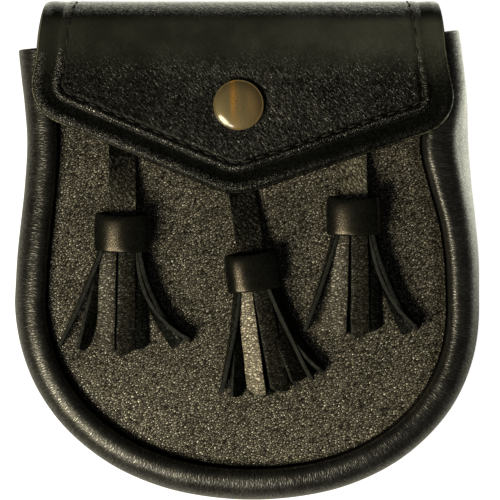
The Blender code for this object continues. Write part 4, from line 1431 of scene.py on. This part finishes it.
def hide_material(groups):
    """Drawn grain on the field of the hide, and pebbles on the crests of its creased border."""
    field = LEATHERS["hide"]
    border = LEATHERS["border"]
    material, tree, shader = new_material("hide_leather")
    inset = attribute(tree, "inset")
    place = axes(tree, flat_place(tree))

    def across(span, low=0.0, high=1.0):
        return ramp(tree, place["X"], *metres(span), low, high)

    def along(span, low=0.0, high=1.0):
        return ramp(tree, place["Y"], *metres(span), low, high)

    def inward(span, low=0.0, high=1.0):
        return ramp(tree, inset, *span, low, high)

    def either(on_border, off_border):
        return mix_values(tree, on_field, on_border, off_border)

    on_field = inward(FIELD_START)
    stretch_and_sheen = product(tree, along(STRETCHED), along(FOLD_GRAIN, 1.0, 0.0))
    smooth = ramp(tree, stretch_and_sheen, 0.0, 1.0, 1.0, STRETCHED_GRAIN)
    dull = ramp(tree, stretch_and_sheen, 0.0, 1.0, 1.0, STRETCHED_SHINE)
    drawn = place_grain(tree, field, groups)
    pebbled = place_grain(tree, border, groups)

    crest = product(tree, inward(EDGE_CREST), inward(CREST_END, 1.0, VALLEY_GRAIN),
                    across(CREST_ACROSS, 1.0, CREST_KEPT))
    ridge = math_node(tree, "MAXIMUM", crest, inward(RIDGE_START))
    pebbled_height = product(tree, pebbled["Height"], product(tree, ridge, border.depth))
    drawn_height = math_node(tree, "MULTIPLY_ADD", drawn["Height"], field.depth,
                             product(tree, pebbled["Height"], FIELD_PEBBLES))
    grain = {"Height": product(tree, either(pebbled_height, drawn_height), smooth),
             "Cells": either(pebbled["Cells"],
                             product(tree, pebbled["Cells"], drawn["Cells"])),
             "Tone": pebbled["Tone"]}

    # Painted shade: the crest's shine is cut on the right.
    on_crest = product(
        tree, across(CREST_ACROSS, *(share * border.shine for share in CREST_SHINE)),
        math_node(tree, "MAXIMUM", inward(CREST_LINE, *LINE_SHINE),
                  inward(RIDGE_LINE, *reversed(LINE_SHINE))))
    # Painted shade and sheen: the field's shine is lower on its left and higher on its right.
    on_slope = product(
        tree, inward(GROOVE_SLOPE, field.shine * GROOVE_SHINE, field.shine),
        math_node(tree, "MAXIMUM", across(FIELD_ACROSS, *FIELD_SHINE),
                  along(FOLD_GRAIN, 0.0, FOLD_SHINE)))
    off_rim = inward(RIM_END)

    dyed = mix_colors(tree, on_field, rgba(border.dye), rgba(field.dye))
    # Painted sheen: paler dye towards the fold, most on the right.
    pale = mix_colors(tree, product(tree, stretch_and_sheen, across(PAINTED_SHEEN_ACROSS, PAINTED_SHEEN_LEFT)),
                      dyed, rgba(PAINTED_SHEEN_DYE))
    # A pale line of painted reflection along the edge, inside the black rim.
    line = mix_colors(tree, along(PAINTED_EDGE_GLEAM_SPAN), rgba(PAINTED_EDGE_GLEAM_LOW), rgba(PAINTED_EDGE_GLEAM))
    with_painted_edge_gleam = mix_colors(tree, inward(PAINTED_EDGE_GLEAM_END), line, pale)
    finish_leather(tree, shader, groups, grain, {
        "Dye": mix_colors(tree, off_rim, rgba(RIM_DYE), with_painted_edge_gleam),
        "Vary": product(tree, either(border.vary, field.vary), smooth),
        "Deep": math_node(tree, "MAXIMUM", either(border.deep, field.deep), stretch_and_sheen),
        "Shine": product(tree, off_rim, dull, either(on_crest, on_slope)),
        "Rough": either(border.rough, field.rough)})
    return material


def suede_material(name, dyes, groups):
    material, tree, shader = new_material(name)
    nap = place_group(tree, groups["nap"], {"Vector": object_place(tree), "Color": rgba(dyes[0]),
                                            "Tuft": rgba(dyes[1])})
    set_sockets(tree, shader.inputs, {
        "Base Color": nap["Color"], "Normal": relief(tree, nap["Height"], SUEDE_RELIEF * MM),
        **SUEDE_FINISH})
    return material


def thread_material():
    material, tree, shader = new_material("waxed_thread")
    strands = noise_node(tree, object_place(tree), THREAD_STRANDS)
    set_sockets(tree, shader.inputs, {
        "Base Color": mix_colors(tree, strands, *map(rgba, THREAD_DYES)),
        "Normal": relief(tree, strands, THREAD_RELIEF * MM), **THREAD_FINISH})
    return material


def brass_material():
    """Brass gone brown with age, with fine dark specks, and a warm upright painted reflection."""
    material, tree, shader = new_material("aged_brass")
    here = object_place(tree)
    upright = add_node(tree, "Mapping", {"Vector": here, "Scale": CLOUD_STRETCH}).outputs[0]
    clouds = noise_node(tree, upright, BRASS_CLOUDS, *CLOUDY)
    specks = noise_node(tree, here, BRASS_SPECKS, *CLOUDY)
    place = axes(tree, here)
    wavy = math_node(tree, "MULTIPLY_ADD", clouds, PAINTED_REFLECTION_WAVE * MM, place["X"])
    aside = math_node(tree, "ABSOLUTE", math_node(tree, "SUBTRACT", wavy, PAINTED_REFLECTION_ACROSS * MM))
    # Painted reflection: a warm upright band left of the cap's middle, strongest near the top.
    painted_reflection = product(tree, ramp(tree, aside, PAINTED_REFLECTION_HALF * MM, 0.0),
                     ramp(tree, place["Y"], *metres(PAINTED_REFLECTION_FADE)))
    warm = mix_colors(tree, ramp(tree, clouds, *WARM_CLOUDS), *map(rgba, BRASS_TONES))
    streaked = mix_colors(tree, painted_reflection, warm, rgba(PAINTED_REFLECTION_TONE))
    set_sockets(tree, shader.inputs, {
        "Base Color": mix_colors(tree, ramp(tree, specks, *DARK_SPECKS), streaked,
                                 rgba(SPECK_TONE)),
        "Roughness": math_node(tree, "ADD", ramp(tree, clouds, *CLOUD_ROUGH),
                               ramp(tree, specks, *SPECK_ROUGH)),
        "Normal": relief(tree, specks, SPECK_RELIEF * MM), **BRASS_FINISH})
    return material


# ---- studio ----

def add_camera():
    data = bpy.data.cameras.new("camera")
    data.sensor_width = SENSOR
    data.lens = SENSOR * CAMERA_DISTANCE / VIEW_WIDTH
    data.clip_end = CAMERA_REACH * MM
    camera = new_object("camera", data)
    camera.location = Vector((VIEW_ACROSS, VIEW_HEIGHT, VIEW_PLANE + CAMERA_DISTANCE)) * MM
    bpy.context.scene.camera = camera


def add_floor():
    """Pale floor, white to the camera, whose glow lights the pouch, brightest beyond the fold."""
    bm = bmesh.new()
    bmesh.ops.create_grid(bm, x_segments=1, y_segments=1, size=FLOOR_HALF * MM)
    floor = new_object("floor", new_mesh("floor", bm))
    floor.location.z = -FLOOR_DROP * MM
    material, tree, shader = new_material("pale_floor")
    seen = add_node(tree, "LightPath").outputs["Is Camera Ray"]
    here = object_place(tree)
    way = add_node(tree, "VectorMath", {0: here, 1: GLOW_WAY}, operation="DOT_PRODUCT")
    glow = ramp(tree, way.outputs["Value"], *metres(GLOW_RUN), *GLOW)
    away = add_node(tree, "VectorMath", {0: here}, operation="LENGTH").outputs["Value"]
    fade = ramp(tree, away, *metres(GLOW_REACH), 1.0, GLOW_FAR)
    set_sockets(tree, shader.inputs, {
        "Base Color": rgba(FLOOR_GREY), "Roughness": FLOOR_ROUGH,
        "Emission Color": mix_colors(tree, seen, rgba(GLOW_COLOR), rgba((1.0, 1.0, 1.0))),
        "Emission Strength": mix_values(tree, seen, product(tree, glow, fade), 1.0)})
    floor.data.materials.append(material)


def add_lamp(lamp):
    """Round soft light that faces the pouch. Azimuth 0 stands to the right, 90 above."""
    azimuth = math.radians(lamp.azimuth)
    elevation = math.radians(lamp.elevation)
    away = Vector((math.cos(azimuth) * math.cos(elevation),
                   math.sin(azimuth) * math.cos(elevation), math.sin(elevation)))
    data = bpy.data.lights.new(lamp.name, "AREA")
    data.shape = "DISK"
    data.size = lamp.size * MM
    data.energy = lamp.power
    data.color = lamp.color
    light = new_object(lamp.name, data)
    light.location = away * LAMP_DISTANCE * MM
    light.rotation_euler = away.to_track_quat("Z", "Y").to_euler()


def add_world():
    world = bpy.data.worlds.new("studio")
    world.use_nodes = True
    set_sockets(world.node_tree, world.node_tree.nodes["Background"].inputs,
                {"Color": WORLD_COLOR, "Strength": WORLD_STRENGTH})
    bpy.context.scene.world = world
    bpy.context.scene.view_settings.view_transform = "Standard"


# ---- the whole ----


def build():
    groups = {"grain": grain_group(), "dye": dye_group(), "nap": nap_group()}
    plain = [name for name in LEATHERS if name not in ("hide", "border")]
    leather = {name: leather_material(name, groups) for name in plain}
    leather["hide"] = hide_material(groups)
    flesh = suede_material("flesh_side", FLESH_DYES, groups)
    edge = suede_material("cut_edge", EDGE_DYES, groups)
    brass = brass_material()
    add_gusset([leather["gusset"], flesh, edge])
    add_front_panel([leather["panel"], flesh, edge])
    add_back_and_flap([leather["hide"], flesh, edge])
    add_stitches(thread_material())
    add_snap_cap(brass)
    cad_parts["snap_stud"].material_slots[0].material = brass
    for tassel in TASSELS:
        add_strap(tassel, [leather["strap"], edge])
        add_fringe(tassel, [leather["strip"], edge])
        add_collar(tassel, leather["collar"])
    for side, across in zip(("left", "right"), LOOP_ACROSS):
        add_belt_loop(side, across, [leather["loop"], edge])
    add_floor()
    for lamp in LAMPS:
        add_lamp(lamp)
    add_world()
    add_camera()


build()
